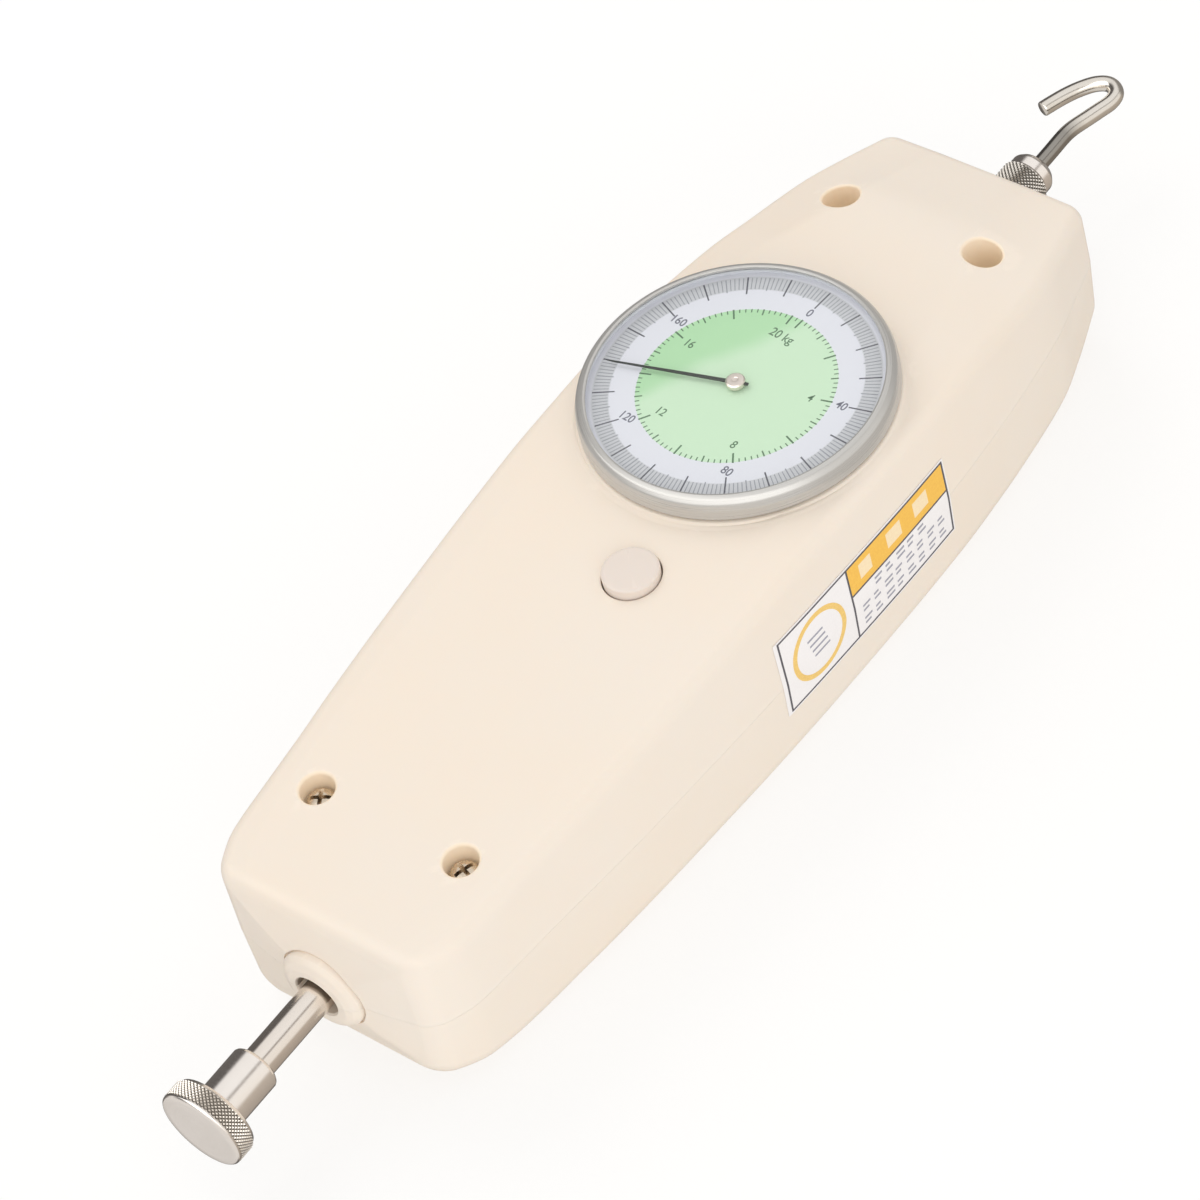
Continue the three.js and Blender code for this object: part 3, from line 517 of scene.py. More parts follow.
def plastic(name, colour, rough, grain=1.0, scatter=0.10, edge=0.4, wells=False):
    """moulded satin plastic: faint tone drift, fine grain, slightly polished edges that also carry
    a painted highlight
    """
    material, g = new_material(name)
    coords = g.coords()
    drift = g.fade(g.noise(coords, scale=22.0, rough=0.55), low=0.35, high=0.65)
    warm = tint(colour, (1.006, 0.992, 0.975))
    cool = tint(colour, (0.994, 1.002, 1.012))
    base = g.mix(drift, warm, cool)
    geometry = g.add("NewGeometry")
    # painted highlight: convex edges lighter in colour; they are also truly a little less rough
    polish_and_edge_highlight = g.times(g.fade(geometry.outputs["Pointiness"], low=0.50, high=0.58), edge)
    base = g.mix(polish_and_edge_highlight, base, tint(colour, 1.05, lift=0.012))
    smudge = g.noise(coords, scale=90.0, detail=5, rough=0.6)
    roughness = g.remap(smudge, span=(0.3, 0.7), to=(rough - 0.05, rough + 0.06))
    roughness = g.minus(roughness, g.times(polish_and_edge_highlight, 0.10))
    # surface relief: two sizes of grain on a slow wave
    fine = g.noise(coords, scale=5200.0, detail=2, rough=0.6)
    coarse = g.noise(coords, scale=1500.0, rough=0.55)
    wave = g.noise(coords, scale=40.0, detail=2)
    relief = g.plus(g.times(fine, 0.5), g.times(coarse, 0.8))
    relief = g.plus(relief, g.times(wave, 3.0))
    look = {
        "Roughness": roughness,
        "Normal": g.bump(relief, strength=0.10 * grain, distance=0.00004),
        "IOR": 1.49,
        "Subsurface Weight": scatter,
        "Subsurface Radius": (0.0016, 0.0011, 0.0007),
        "Subsurface Scale": 1.0,
    }
    # painted light in the screw wells and painted shade round the shaft bores
    if wells:
        base, look["Emission Strength"] = well_glow(g, coords, base)
        look["Emission Color"] = srgb(228, 208, 178)
    look["Base Color"] = base
    g.finish(g.add("BsdfPrincipled", look))
    return material


def knurl_dirt(g):
    """how far down a knurl's grooves a point lies, for the painted shade in them"""
    radius = g.radial(g.coords(), "xz")[0]
    fills = []
    for top, depth in (DISC_KNURL, HOLDER_KNURL):
        top, depth = top / 1000, depth / 1000
        groove = g.remap(radius, span=(top - depth, top - depth * 0.35), to=(1.0, 0.0))
        outside = g.remap(radius, span=(top - depth - 0.0003, top - depth - 0.0002))
        fills.append(g.times(groove, outside))
    return g.math("MAXIMUM", fills[0], fills[1])


def metal(
    name, colour, rough, tarnish, lines=1.0, along=None, plane=None, aniso=0.0, body=0.0,
    knurl=False, painted_dusk=None,
):
    """plated or turned metal with tool lines along an axis or round one (plane), tarnish, and
    painted shade in hollows and knurl grooves.
    body: share of plain paint; painted_dusk: painted shade (y where shade starts to fade, y where
    it ends, amount)"""
    material, g = new_material(name)
    coords = g.coords()
    if plane:
        radius, x, y, place_along = g.radial(g.coords(), plane)
        turns = g.times(g.math("ARCTAN2", y, x), 0.6)
        around = {0: g.times(radius, 9000.0), 1: g.times(place_along, 9000.0), 2: turns}
        vector = g.add("CombineXYZ", around).outputs[0]
        line = g.noise(vector, scale=1.0, detail=4, rough=0.62)
    elif along:
        # noise squeezed across the axis runs as lines along it
        stretch = [60.0 if axis == along else 6500.0 for axis in "xyz"]
        mapping = g.add("Mapping", {"Scale": stretch, "Vector": g.coords()})
        line = g.noise(mapping.outputs["Vector"], scale=1.0, detail=4, rough=0.6)
    else:
        line = g.noise(coords, scale=3000.0, detail=4, rough=0.6)
    cloud = g.noise(coords, scale=160.0, detail=4, rough=0.55)
    dark = tint(colour, (0.86, 0.83, 0.78))
    base = g.mix(g.times(g.fade(cloud, low=0.42, high=0.72), tarnish), colour, dark)
    scored = g.fade(line, low=0.35, high=0.6, falling=True)
    base = g.mix(g.times(scored, 0.12 * lines), base, dark)
    geometry = g.add("NewGeometry")
    # painted shade: darker in hollows and concave corners
    hollow_shade = g.fade(geometry.outputs["Pointiness"], low=0.40, high=0.49, falling=True)
    base = g.mix(g.times(hollow_shade, 0.7), base, tint(colour, (0.42, 0.38, 0.33)))
    roughness = g.remap(line, span=(0.3, 0.7), to=(max(0.03, rough - 0.05), rough + 0.08))
    if knurl:
        # painted shade: the knurl's grooves darkened nearly to black
        base = g.mix(g.times(knurl_dirt(g), 0.85), base, (0.13, 0.115, 0.10, 1))
    if painted_dusk:
        # painted reflection: the metal next to the case's hook end is painted darker, for the
        # case's shaded side that it mirrors
        fade_start, fade_end, amount = painted_dusk
        y = g.split(coords)[1]
        start = g.remap(y, span=(0.0785, 0.0795))
        stop = g.remap(y, span=(fade_start, fade_end), to=(1.0, 0.0))
        shade = g.times(g.times(start, stop), amount)
        base = g.mix(shade, base, (0.10, 0.095, 0.085, 1))
    look = {
        "Base Color": base,
        "Metallic": 1.0 - body,
        "Roughness": g.plus(roughness, g.times(cloud, 0.05)),
        "Normal": g.bump(line, strength=0.10 * lines),
    }
    if aniso:
        tangent = g.add("Tangent", direction_type="RADIAL", axis="Z" if plane == "xy" else "Y")
        look["Anisotropic"] = aniso
        look["Tangent"] = tangent.outputs[0]
    g.finish(g.add("BsdfPrincipled", look))
    return material


def paint(name, colour, rough=0.45, speckle=0.08, coat=0.0):
    """printed ink or stoved paint with a faint fleck"""
    material, g = new_material(name)
    coords = g.coords()
    fleck = g.noise(coords, scale=2600.0, rough=0.6)
    sheen = g.noise(coords, scale=300.0)
    lighter = tint(colour, 1 + speckle * 2, lift=speckle * 0.12)
    look = {
        "Base Color": g.mix(g.fade(fleck, low=0.4, high=0.75), colour, lighter),
        "Roughness": g.remap(sheen, span=(0.3, 0.7), to=(rough - 0.05, rough + 0.06)),
        "Normal": g.bump(fleck, strength=0.08),
        "Coat Weight": coat,
    }
    g.finish(g.add("BsdfPrincipled", look))
    return material


def dial_face(name):
    """printed dial: green centre, pale ring, greyer band where the fine graduations stand"""
    material, g = new_material(name)
    coords = g.coords()
    radius = g.radial(coords, "xy")[0]
    ink = g.noise(coords, scale=3200.0, rough=0.6)
    patches = g.noise(coords, scale=60.0, detail=2)
    # painted reflection: the green is a little deeper towards -x and +y, and paler on the other
    # side where the window's soft reflection is painted
    x, y, _ = g.split(coords)
    painted_reflection_lean = g.plus(g.times(x, -0.647), g.times(y, 0.386))
    painted_reflection_lean = g.plus(painted_reflection_lean, g.times(g.minus(patches, 0.5), 0.004))
    painted_reflection_lean = g.remap(painted_reflection_lean, span=(0.0036, 0.0073), interpolation_type="SMOOTHSTEP")
    green = g.mix(painted_reflection_lean, srgb(209, 238, 207), srgb(180, 226, 178))
    green = g.mix(g.times(ink, 0.10), green, srgb(236, 246, 232))
    # the print's edges wander slightly
    radius = g.plus(radius, g.times(g.minus(ink, 0.5), 0.00006))
    edge = g.remap(radius, span=(0.01796, 0.01806))
    band_start = g.remap(radius, span=(0.0226, 0.0229))
    band_end = g.remap(radius, span=(0.0257, 0.0260), to=(1.0, 0.0))
    grey = g.times(g.times(band_start, band_end), 0.6)
    pale = g.mix(grey, srgb(233, 233, 243), srgb(186, 187, 189))
    pale = g.mix(g.times(ink, 0.05), pale, srgb(215, 215, 228))
    look = {
        "Base Color": g.mix(edge, green, pale),
        "Roughness": 0.42,
        "Normal": g.bump(ink, strength=0.06),
    }
    g.finish(g.add("BsdfPrincipled", look))
    return material


def window(name):
    """clear acrylic: lets light straight through, mirrors more at a slant, faintly hazy"""
    material, g = new_material(name)
    fresnel = g.add("Fresnel", {"IOR": 1.49})
    haze = g.noise(g.coords(), scale=900.0, detail=4, rough=0.6)
    haze = g.remap(haze, span=(0.3, 0.7), to=(0.012, 0.05))
    mirror = g.add("BsdfGlossy", {"Color": (1, 1, 1, 1), "Roughness": haze})
    clear = g.add("BsdfTransparent", {"Color": (0.985, 0.992, 0.99, 1)})
    front = g.minus(1.0, g.add("NewGeometry").outputs["Backfacing"])
    factor = g.times(g.times(fresnel.outputs[0], 0.85), front)
    g.finish(g.mix_shader(factor, clear, mirror))
    return material


MATERIALS = {
    "case_front": plastic("cream_case_front", (0.885, 0.792, 0.690, 1), rough=0.40, wells=True),
    "case_rear": plastic("cream_case_rear", (0.880, 0.786, 0.680, 1), rough=0.42),
    "button": plastic("button_plastic", (0.800, 0.715, 0.650, 1), rough=0.36, grain=0.7, edge=0.5),
    "bezel": metal(
        "bezel_aluminium", (0.58, 0.575, 0.56, 1), rough=0.27, tarnish=0.10, lines=1.2,
        plane="xy", aniso=0.35, body=0.5,
    ),
    "glass": window("dial_window"),
    "dial": dial_face("dial_print"),
    "spacer": paint("spacer_white", srgb(226, 227, 234), rough=0.4, speckle=0.02),
    "ink_fine": paint("ink_fine_grey", srgb(150, 152, 162), rough=0.5, speckle=0.10),
    "ink_bold": paint("ink_bold_grey", srgb(88, 88, 100), rough=0.5, speckle=0.10),
    "ink_number": paint("ink_number_grey", srgb(112, 113, 128), rough=0.5, speckle=0.10),
    "ink_green": paint("ink_green_grey", srgb(88, 122, 92), rough=0.5, speckle=0.10),
    "pointer": paint("pointer_black", srgb(34, 40, 36), rough=0.35, speckle=0.05, coat=0.2),
    "hub": metal(
        "pointer_hub_metal", (0.90, 0.80, 0.75, 1), rough=0.30, tarnish=0.15, plane="xy",
    ),
    "shaft": metal(
        "shaft_nickel", (0.83, 0.775, 0.72, 1), rough=0.13, tarnish=0.22, lines=0.9,
        plane="xz", aniso=0.2,
    ),
    "tip": metal(
        "tip_nickel", (0.89, 0.85, 0.815, 1), rough=0.16, tarnish=0.12, lines=0.8,
        plane="xz", aniso=0.2,
    ),
    "knurl": metal(
        "knurled_nickel", (0.86, 0.82, 0.77, 1), rough=0.18, tarnish=0.25, lines=0.8,
        knurl=True, painted_dusk=(0.099, 0.1, 0.45),
    ),
    "hook": metal(
        "hook_nickel", (0.78, 0.75, 0.70, 1), rough=0.14, tarnish=0.3, lines=0.8,
        along="y", painted_dusk=(0.0970, 0.1015, 0.66),
    ),
    "screw": metal("screw_nickel", (0.70, 0.61, 0.50, 1), rough=0.24, tarnish=0.45),
    "steel": metal(
        "ground_steel", (0.60, 0.59, 0.575, 1), rough=0.28, tarnish=0.3, lines=1.2, along="y",
    ),
    "spring": metal("spring_wire", (0.42, 0.42, 0.43, 1), rough=0.30, tarnish=0.35, along="y"),
    "brass": metal("turned_brass", (0.80, 0.60, 0.30, 1), rough=0.26, tarnish=0.4),
    "frame": metal(
        "zinc_plated_steel", (0.66, 0.66, 0.64, 1), rough=0.36, tarnish=0.4, lines=1.3, along="y",
    ),
    "cup": plastic(
        "cup_black_plastic", (0.035, 0.035, 0.037, 1), rough=0.5, grain=1.5, scatter=0.0, edge=0.5,
    ),
    "label": paint("label_sheet", srgb(246, 243, 243), rough=0.38, speckle=0.02, coat=0.3),
    "label_ring": paint("label_ring_ink", srgb(240, 200, 112), rough=0.42, coat=0.2),
    "label_dark": paint("label_dark_ink", srgb(86, 84, 92)),
    "label_orange": paint(
        "label_orange_ink", srgb(248, 192, 74), rough=0.42, speckle=0.06, coat=0.2
    ),
    "label_grey": paint("label_grey_ink", srgb(158, 158, 170)),
    "label_pale": paint("label_pale_ink", srgb(250, 226, 186), rough=0.42, speckle=0.05),
}

# ------------------------------------------------------------------ case surface
# y, half width, edge z, middle z, half width of the flat band in front, back z
STATIONS = np.array([
    (-124.5, 21.6, 16.3, 16.6, 15, -15.9),
    (-115, 25.4, 16.8, 17.2, 19, -18.3),
    (-104, 26.4, 17.5, 17.9, 21, -19.8),
    (-95, 27.1, 18.05, 18.5, 22, -20.2),
    (-85, 28.1, 18.65, 19.15, 22.5, -20.2),
    (-70, 29.3, 19.5, 20.05, 23, -20.2),
    (-55, 30.2, 20.45, 21.0, 23, -20.2),
    (-42, 30.9, 21.2, 21.8, 23, -20.2),
    (-22, 31.5, 22.3, 23.0, 23, -20.2),
    (0, 31.7, 22.3, 24.0, 22.5, -20.2),
    (15, 31.5, 21.0, 22.9, 21.5, -20.2),
    (30, 30.6, 19.4, 21.6, 20, -20.2),
    (40, 29.6, 17.6, 20.6, 17.5, -20.2),
    (54, 27.6, 15.7, 19.3, 13, -20.1),
    (62, 25.5, 14.7, 17.0, 11.5, -19.0),
    (74.3, 21.9, 12.9, 13.1, 10, -15.6),
])
CASE_CURVES = [monotone_curve(STATIONS[:, 0], STATIONS[:, k]) for k in range(1, 6)]
DISC_END, HOOK_END = float(STATIONS[0, 0]), float(STATIONS[-1, 0])
CROWN = 2.1  # the disc-end face bulges this far in its middle
FRONT_TAPER, BACK_TAPER = 0.35, 0.9  # the side walls lean in by this much above and below z = 0


def case_sizes(y):
    return (float(curve(y)) for curve in CASE_CURVES)


def corner(at, before, after, radius, steps):
    """points of an arc that rounds a corner between two neighbours"""
    back, ahead = before - at, after - at
    back, ahead = back / np.linalg.norm(back), ahead / np.linalg.norm(ahead)
    half = math.acos(max(-1, min(1, float(back @ ahead)))) / 2
    reach = radius / math.tan(half)
    start, end, weight = at + back * reach, at + ahead * reach, math.sin(half)
    out = []
    for i in range(steps + 1):
        s = i / steps
        c0, c1, c2 = (1 - s) ** 2, 2 * s * (1 - s) * weight, s * s
        out.append((start * c0 + at * c1 + end * c2) / (c0 + c1 + c2))
    return out


def between(start, end, count):
    """count - 1 points strictly between"""
    return [start + (end - start) * (i / count) for i in range(1, count)]


def case_half(y, inset, fine):
    """+x half of the section, from the middle of the front round to the middle of the back"""
    width, edge_z, middle_z, flat, back_z = case_sizes(y)
    width -= inset
    top, bottom = middle_z - inset, back_z + inset
    front_round = max(1, 2.9 - inset * 0.6)
    back_round = max(1.5, 5.2 - inset * 0.8)
    front_middle, band_edge, front_edge, side, back_edge, back_middle = (
        np.array(point, float)
        for point in (
            (0, top),
            (flat - inset * 0.4, top),
            (width - FRONT_TAPER, edge_z - inset),
            (width, 0),
            (width - BACK_TAPER, bottom),
            (0, bottom),
        )
    )
    # steps along each straight or arc, in the order of the outline
    steps = (16, 8, 8, 10, 14, 14, 10, 16) if fine else (5, 3, 4, 4, 4, 5, 4, 5)
    shoulder = corner(band_edge, front_middle, front_edge, 9, steps[1])
    edge = corner(front_edge, band_edge, side, front_round, steps[3])
    heel = corner(back_edge, side, back_middle, back_round, steps[6])
    return (
        [front_middle] + between(front_middle, shoulder[0], steps[0]) + shoulder
        + between(shoulder[-1], edge[0], steps[2]) + edge
        + between(edge[-1], side, steps[4]) + [side]
        + between(side, heel[0], steps[5]) + heel
        + between(heel[-1], back_middle, steps[7]) + [back_middle]
    )


def case_ring(y, inset, fine):
    half = case_half(y, inset, fine)
    return [(p[0], y, p[1]) for p in half] + [(-p[0], y, p[1]) for p in reversed(half[1:-1])]


def case_loft(inset, end_inset, disc_round, hook_round, fine):
    """closed body through the stations, with rounded ends"""
    disc_y, hook_y = DISC_END + end_inset, HOOK_END - end_inset
    steps = 10 if fine else 4
    quarter = [i / steps * math.pi / 2 for i in range(steps + 1)]
    sections = [  # y, inset
        (disc_y + disc_round * (1 - math.sin(a)), inset + disc_round * (1 - math.cos(a)))
        for a in reversed(quarter)
    ]
    start, stop = disc_y + disc_round, hook_y - hook_round
    count = int((stop - start) / (1.4 if fine else 4.0))
    sections += [(start + (stop - start) * i / count, inset) for i in range(1, count)]
    sections += [
        (hook_y - hook_round * (1 - math.sin(a)), inset + hook_round * (1 - math.cos(a)))
        for a in quarter
    ]
    outlines = [case_ring(y, section_inset, fine) for y, section_inset in sections]
    size = len(outlines[0])
    verts = [point for outline in outlines for point in outline]
    rows = [list(range(i * size, (i + 1) * size)) for i in range(len(outlines))]
    faces = []
    for low, high in zip(rows, rows[1:]):
        faces += band(low, high)
    # end faces: rings shrinking to the middle, so that the flat stays evenly meshed
    for end, crown in ((0, CROWN), (-1, 0.0)):
        ring = np.array(outlines[end])
        middle = np.array([0, ring[0][1], (ring[:, 2].max() + ring[:, 2].min()) / 2])
        cap = []
        previous = rows[end]
        for s in (0.94, 0.86, 0.76, 0.65, 0.53, 0.40, 0.26, 0.12):
            current = list(range(len(verts), len(verts) + size))
            bulge = np.array([0, crown * (1 - s * s), 0])
            verts += [tuple(middle + (p - middle) * s - bulge) for p in ring]
            cap += band(previous, current)
            previous = current
        tip = len(verts)
        verts.append((0, middle[1] - crown, middle[2]))
        cap += [(previous[j], previous[(j + 1) % size], tip) for j in range(size)]
        faces += [tuple(reversed(face)) for face in cap] if end == 0 else cap
    return solid(verts, faces)


height_cache = {}


def front_height(x, y):
    """z of the case's front at a point"""
    key = round(y, 2)
    if key not in height_cache:
        half = np.array(case_half(key, 0, True))
        top = half[half[:, 1] >= 0]
        height_cache[key] = (top[:, 0], top[:, 1])
    across, heights = height_cache[key]
    return float(np.interp(abs(x), across, heights))


def wall_x(y, z):
    """x of the +x side wall"""
    width, edge_z, _, _, back_z = case_sizes(y)
    return width - FRONT_TAPER * z / edge_z if z >= 0 else width - BACK_TAPER * z / back_z


def circle(radius, segments, at=(0, 0)):
    angles = [2 * math.pi * k / segments for k in range(segments)]
    return [(at[0] + radius * math.cos(a), at[1] + radius * math.sin(a)) for a in angles]


# low seat under the bezel: flat top, rounded shoulder, hollow fillet running out onto the case
# radius, level z, offset from the case's front, share of the case's front in the height
SEAT = [
    (28.4, 23.35, 0, 0),
    (28.75, 23.33, 0, 0),
    (28.95, 23.26, 0, 0),
    (29.10, 23.12, 0.0, 0.06),
    (29.22, 22.95, 0.25, 0.2),
    (29.34, 22.9, 0.22, 0.45),
    (29.50, 22.9, 0.16, 0.7),
    (29.75, 22.9, 0.08, 0.9),
    (30.05, 22.9, 0.03, 1.0),
    (30.40, 22.9, -0.03, 1.0),
]


def bezel_seat(segments=240, low_z=19.6):
    verts, rows = [], []
    for radius, level, offset, share in SEAT:
        rows.append(list(range(len(verts), len(verts) + segments)))
        for x, y in circle(radius, segments):
            z = level * (1 - share) + share * (front_height(x, y) + offset)
            verts.append((x, y, z))
    top = len(verts)
    verts.append((0, 0, SEAT[0][1]))
    low = list(range(len(verts), len(verts) + segments))
    verts += [(x, y, low_z) for x, y in circle(SEAT[-1][0], segments)]
    bottom = len(verts)
    verts.append((0, 0, low_z))
    faces = []
    for k in range(segments):
        j = (k + 1) % segments
        faces.append((top, rows[0][k], rows[0][j]))
        for inner, outer in zip(rows, rows[1:] + [low]):
            faces.append((inner[k], outer[k], outer[j], inner[j]))
        last = faces.pop()
        faces.append(last)
        faces.append((bottom, low[j], low[k]))
    return solid(verts, faces)


def fitted_bore(at, radius, floor_z, lip, segments=96):
    """cutter for a round hole in the case's front whose rounded mouth follows the surface"""
    rows = [(radius, None)]  # radius, z above the case's front
    for i in range(7):
        angle = i / 6 * math.pi / 2
        rows.append((radius + lip * (1 - math.cos(angle)), -lip + lip * math.sin(angle)))
    rows += [(radius + lip + 0.05, 0.02), (radius + lip + 0.6, 3.0)]
    verts, rings = [], []
    for ring_radius, above in rows:
        rings.append(list(range(len(verts), len(verts) + segments)))
        for x, y in circle(ring_radius, segments, at):
            verts.append((x, y, floor_z if above is None else front_height(x, y) + above))
    bottom, top = len(verts), len(verts) + 1
    verts += [(*at, floor_z), (*at, front_height(*at) + 4.0)]
    faces = []
    for k in range(segments):
        j = (k + 1) % segments
        faces.append((bottom, rings[0][j], rings[0][k]))
        for low, high in zip(rings, rings[1:]):
            faces.append((low[k], low[j], high[j], high[k]))
        faces.append((rings[-1][k], rings[-1][j], top))
    return solid(verts, faces)


# ------------------------------------------------------------------ case halves
# round bosses about the shaft holes: radius, y, corner radius
DISC_BOSS = [
    (0, -128.3), (6.1, -128.3, 1.6), (7.5, -127.75, 1.4), (8.35, -126.75, 0.5),
    (8.35, -123.5), (0, -123.5),
]
HOOK_BOSS = [
    (0, HOOK_END - 1), (9.3, HOOK_END - 1), (9.3, HOOK_END + 0.01),
    (8.6, HOOK_END + 0.01, 0.45), (8.6, HOOK_END + 2.6, 0.9), (0, HOOK_END + 2.6),
]
# cutters that trim the disc-end boss to its radius and ease the mouths of the two bores
DISC_BOSS_TRIM = [(8.3, -130), (8.7, -130), (8.7, -125.6), (8.3, -125.6), (8.3, -130)]
DISC_MOUTH = [(0, -128.9), (4.9, -128.9), (4.58, -128.3, 0.3), (4.29, -127.95), (0, -127.95)]
HOOK_MOUTH = [
    (0, HOOK_END + 2.2), (4.29, HOOK_END + 2.2), (4.62, HOOK_END + 2.6, 0.3),
    (5.0, HOOK_END + 3.2), (0, HOOK_END + 3.2),
]


def build_case():
    outer = case_loft(0, 0, 3.4, 2.6, fine=True)
    posts = []
    for x, y, _, _, radius, _ in CASE_SCREWS:
        posts.append(boolean(rod(radius, -26, 26, (x, y), 40), copy_of(outer), "INTERSECT"))
    for at in STANDOFFS:
        posts.append(boolean(rod(3.4, -24, -11.02, at, 32), copy_of(outer), "INTERSECT"))
    shell = cut(outer, case_loft(2.2, 2.6, 2.2, 1.6, fine=False))
    merge(shell, *posts)
    merge(shell, turned(DISC_BOSS, 160, axis="y", arc_steps=8))
    merge(shell, turned(HOOK_BOSS, 128, axis="y"))
    merge(shell, bezel_seat())
    merge(shell, rod(BUTTON_RADIUS + 1.8, 17.4, 20, BUTTON_AT, 64))
    for low, high in ((DISC_END - 8, DISC_END + 6), (HOOK_END - 6, HOOK_END + 8)):
        cut(shell, rod(BORE_RADIUS, low, high, segments=96, axis="y"))
    cut(shell, turned(DISC_BOSS_TRIM, 128, axis="y"))
    cut(shell, turned(DISC_MOUTH, 96, axis="y"), turned(HOOK_MOUTH, 96, axis="y"))
    cut(shell, rod(27.75, 6, 40, segments=240))  # dial opening
    cut(shell, fitted_bore(BUTTON_AT, BUTTON_RADIUS + 0.24, 10, 0.22, 128))
    for x, y, seat_z, radius, _, _ in CASE_SCREWS:
        cut(shell, fitted_bore((x, y), radius, seat_z, 0.6))
        cut(shell, rod(1.75, -9, seat_z + 1, (x, y), 28))
    for at in STANDOFFS:
        cut(shell, rod(1.65, -17, -8, at, 24))
    # the halves part with a fine gap at the shaft axis
    front = boolean(copy_of(shell), box(-60, 60, -160, 110, 0.02, 60), "INTERSECT")
    rear = boolean(shell, box(-60, 60, -160, 110, -60, -0.02), "INTERSECT")
    for ob, side in ((front, "front"), (rear, "rear")):
        key = f"case_{side}"
        place(ob, f"{key}_half", key, "case", f"{side}_shell", slot=key, angle=38)


build_case()


# ------------------------------------------------------------------ screws
def thread(x, y, z0, z1, radius, pitch=0.8, steps=20):
    """one closed V-thread wound round a core, fading in and out at its ends"""
    count = int((z1 - z0) / pitch * steps)
    root = radius - 0.34
    verts, faces = [], []
    for i in range(count + 1):
        angle = 2 * math.pi * i / steps
        z = z0 + (z1 - z0) * i / count
        fade = min(1, i / steps, (count - i) / steps)
        crest = radius - 0.26 * (1 - fade)
        for r, part in ((root, -0.36), (crest, -0.05), (crest, 0.05), (root, 0.36)):
            verts.append((x + r * math.cos(angle), y + r * math.sin(angle), z + pitch * part))
    for i in range(count):
        faces += band(range(i * 4, i * 4 + 4), range(i * 4 + 4, i * 4 + 8))
    last = count * 4
    faces += [(0, 1, 2, 3), (last + 3, last + 2, last + 1, last)]
    return solid(verts, faces)


def cross_arm(x, y, top_z, head_radius, head_height, turn):
    """cutter for one tapered arm of a cross recess"""
    length, width = head_radius * 0.66, head_radius * 0.115
    verts = []
    # z, share of the length, share of the width
    for z, along, across in (
        (top_z - head_height * 0.80, 0.34, 0.62),
        (top_z + 0.3, 1.18, 1.25),
    ):
        for side, edge in ((-1, -1), (1, -1), (1, 1), (-1, 1)):
            u, v = side * length * along, edge * width * across
            verts.append((
                x + u * math.cos(turn) - v * math.sin(turn),
                y + u * math.sin(turn) + v * math.cos(turn),
                z,
            ))
    return solid(verts, PRISM_FACES)


def screw(name, node, at, z, head_radius, head_height, shank_radius, length, turn, crossed):
    """screw along z with its head's underside at z"""
    x, y = at
    core = shank_radius - 0.32
    profile = [
        (0, z - length),
        (shank_radius * 0.35, z - length),
        (core, z - length + 1.2),
        (core, z - 0.6),
        (shank_radius, z - 0.4, 0.1),
        (shank_radius, z),
        (head_radius, z, 0.12),
        (head_radius, z + head_height * 0.42, 0.35),
        (head_radius * 0.80, z + head_height * 0.86, 0.8),
        (head_radius * 0.42, z + head_height, 0.5),
        (0, z + head_height),
    ]
    body = turned(profile, 64, at)
    top = z + head_height
    if crossed:
        for angle in (turn, turn + math.pi / 2):
            cut(body, cross_arm(x, y, top, head_radius, head_height, angle))
    else:
        half = head_radius * 1.2
        slot = box(-half, half, -0.32, 0.32, z + head_height * 0.45, top + 1)
        slot.data.transform(Matrix.Translation((x, y, 0)) @ Matrix.Rotation(turn, 4, "Z"))
        cut(body, slot)
    ob = gather([body, thread(x, y, z - length + 1.3, z - 0.9, shank_radius)])
    place(ob, name, "screw", "case", node, slot="screw", angle=34)


for i, (x, y, seat_z, well_radius, _, length) in enumerate(CASE_SCREWS):
    screw(
        f"case_screw_fine_{i + 1}", f"case_screw_{i + 1}", (x, y), seat_z + 0.02,
        head_radius=well_radius - 0.3, head_height=2.3, shank_radius=1.5,
        length=length, turn=0.55 + i * 0.7, crossed=True,
    )
for i, at in enumerate(STANDOFFS):
    screw(
        f"frame_screw_fine_{i + 1}", f"frame_screw_{i + 1}", at, -9.48,
        head_radius=2.7, head_height=1.5, shank_radius=1.45,
        length=7.2, turn=0.3 + i, crossed=False,
    )


# ------------------------------------------------------------------ knurled fittings
def knurled(before, y0, y1, knurl, cells, rows, after):
    """turned body about y whose band from y0 to y1 is a diamond knurl of small pyramids;
    before and after are the profiles on either side of it"""
    radius, depth = knurl
    segments = cells * 2
    before, after = rounded(before, 4), rounded(after, 4)
    verts, rings = [], []

    def add_ring(y, radii):
        rings.append(list(range(len(verts), len(verts) + len(radii))))
        for k, r in enumerate(radii):
            angle = 2 * math.pi * k / segments
            verts.append((r * math.cos(angle), y, r * math.sin(angle)))

    def add_profile(points):
        for r, y in points:
            add_ring(y, [0.0] if r < 1e-6 else [r] * segments)

    add_profile(before)
    for j in range(rows + 1):
        radii = [radius if (k + j) % 2 else radius - depth for k in range(segments)]
        add_ring(y0 + (y1 - y0) * j / rows, radii)
    add_profile(after)
    faces = []
    for i, (low, high) in enumerate(zip(rings, rings[1:])):
        j = i - len(before)
        if len(low) > 1 and len(high) > 1 and not 0 <= j < rows:
            faces += band(low, high, swap=True)
            continue
        for k in range(segments):
            n = (k + 1) % segments
            if len(low) == 1:
                faces.append((low[0], high[k], high[n]))
            elif len(high) == 1:
                faces.append((low[k], high[0], low[n]))
            elif (k + j) % 2 == 0:  # low[k] is in a groove, and so is high[n]
                faces += [(low[k], high[k], high[n]), (low[k], high[n], low[n])]
            else:
                faces += [(low[k], high[k], low[n]), (high[k], high[n], low[n])]
    return solid(verts, faces)


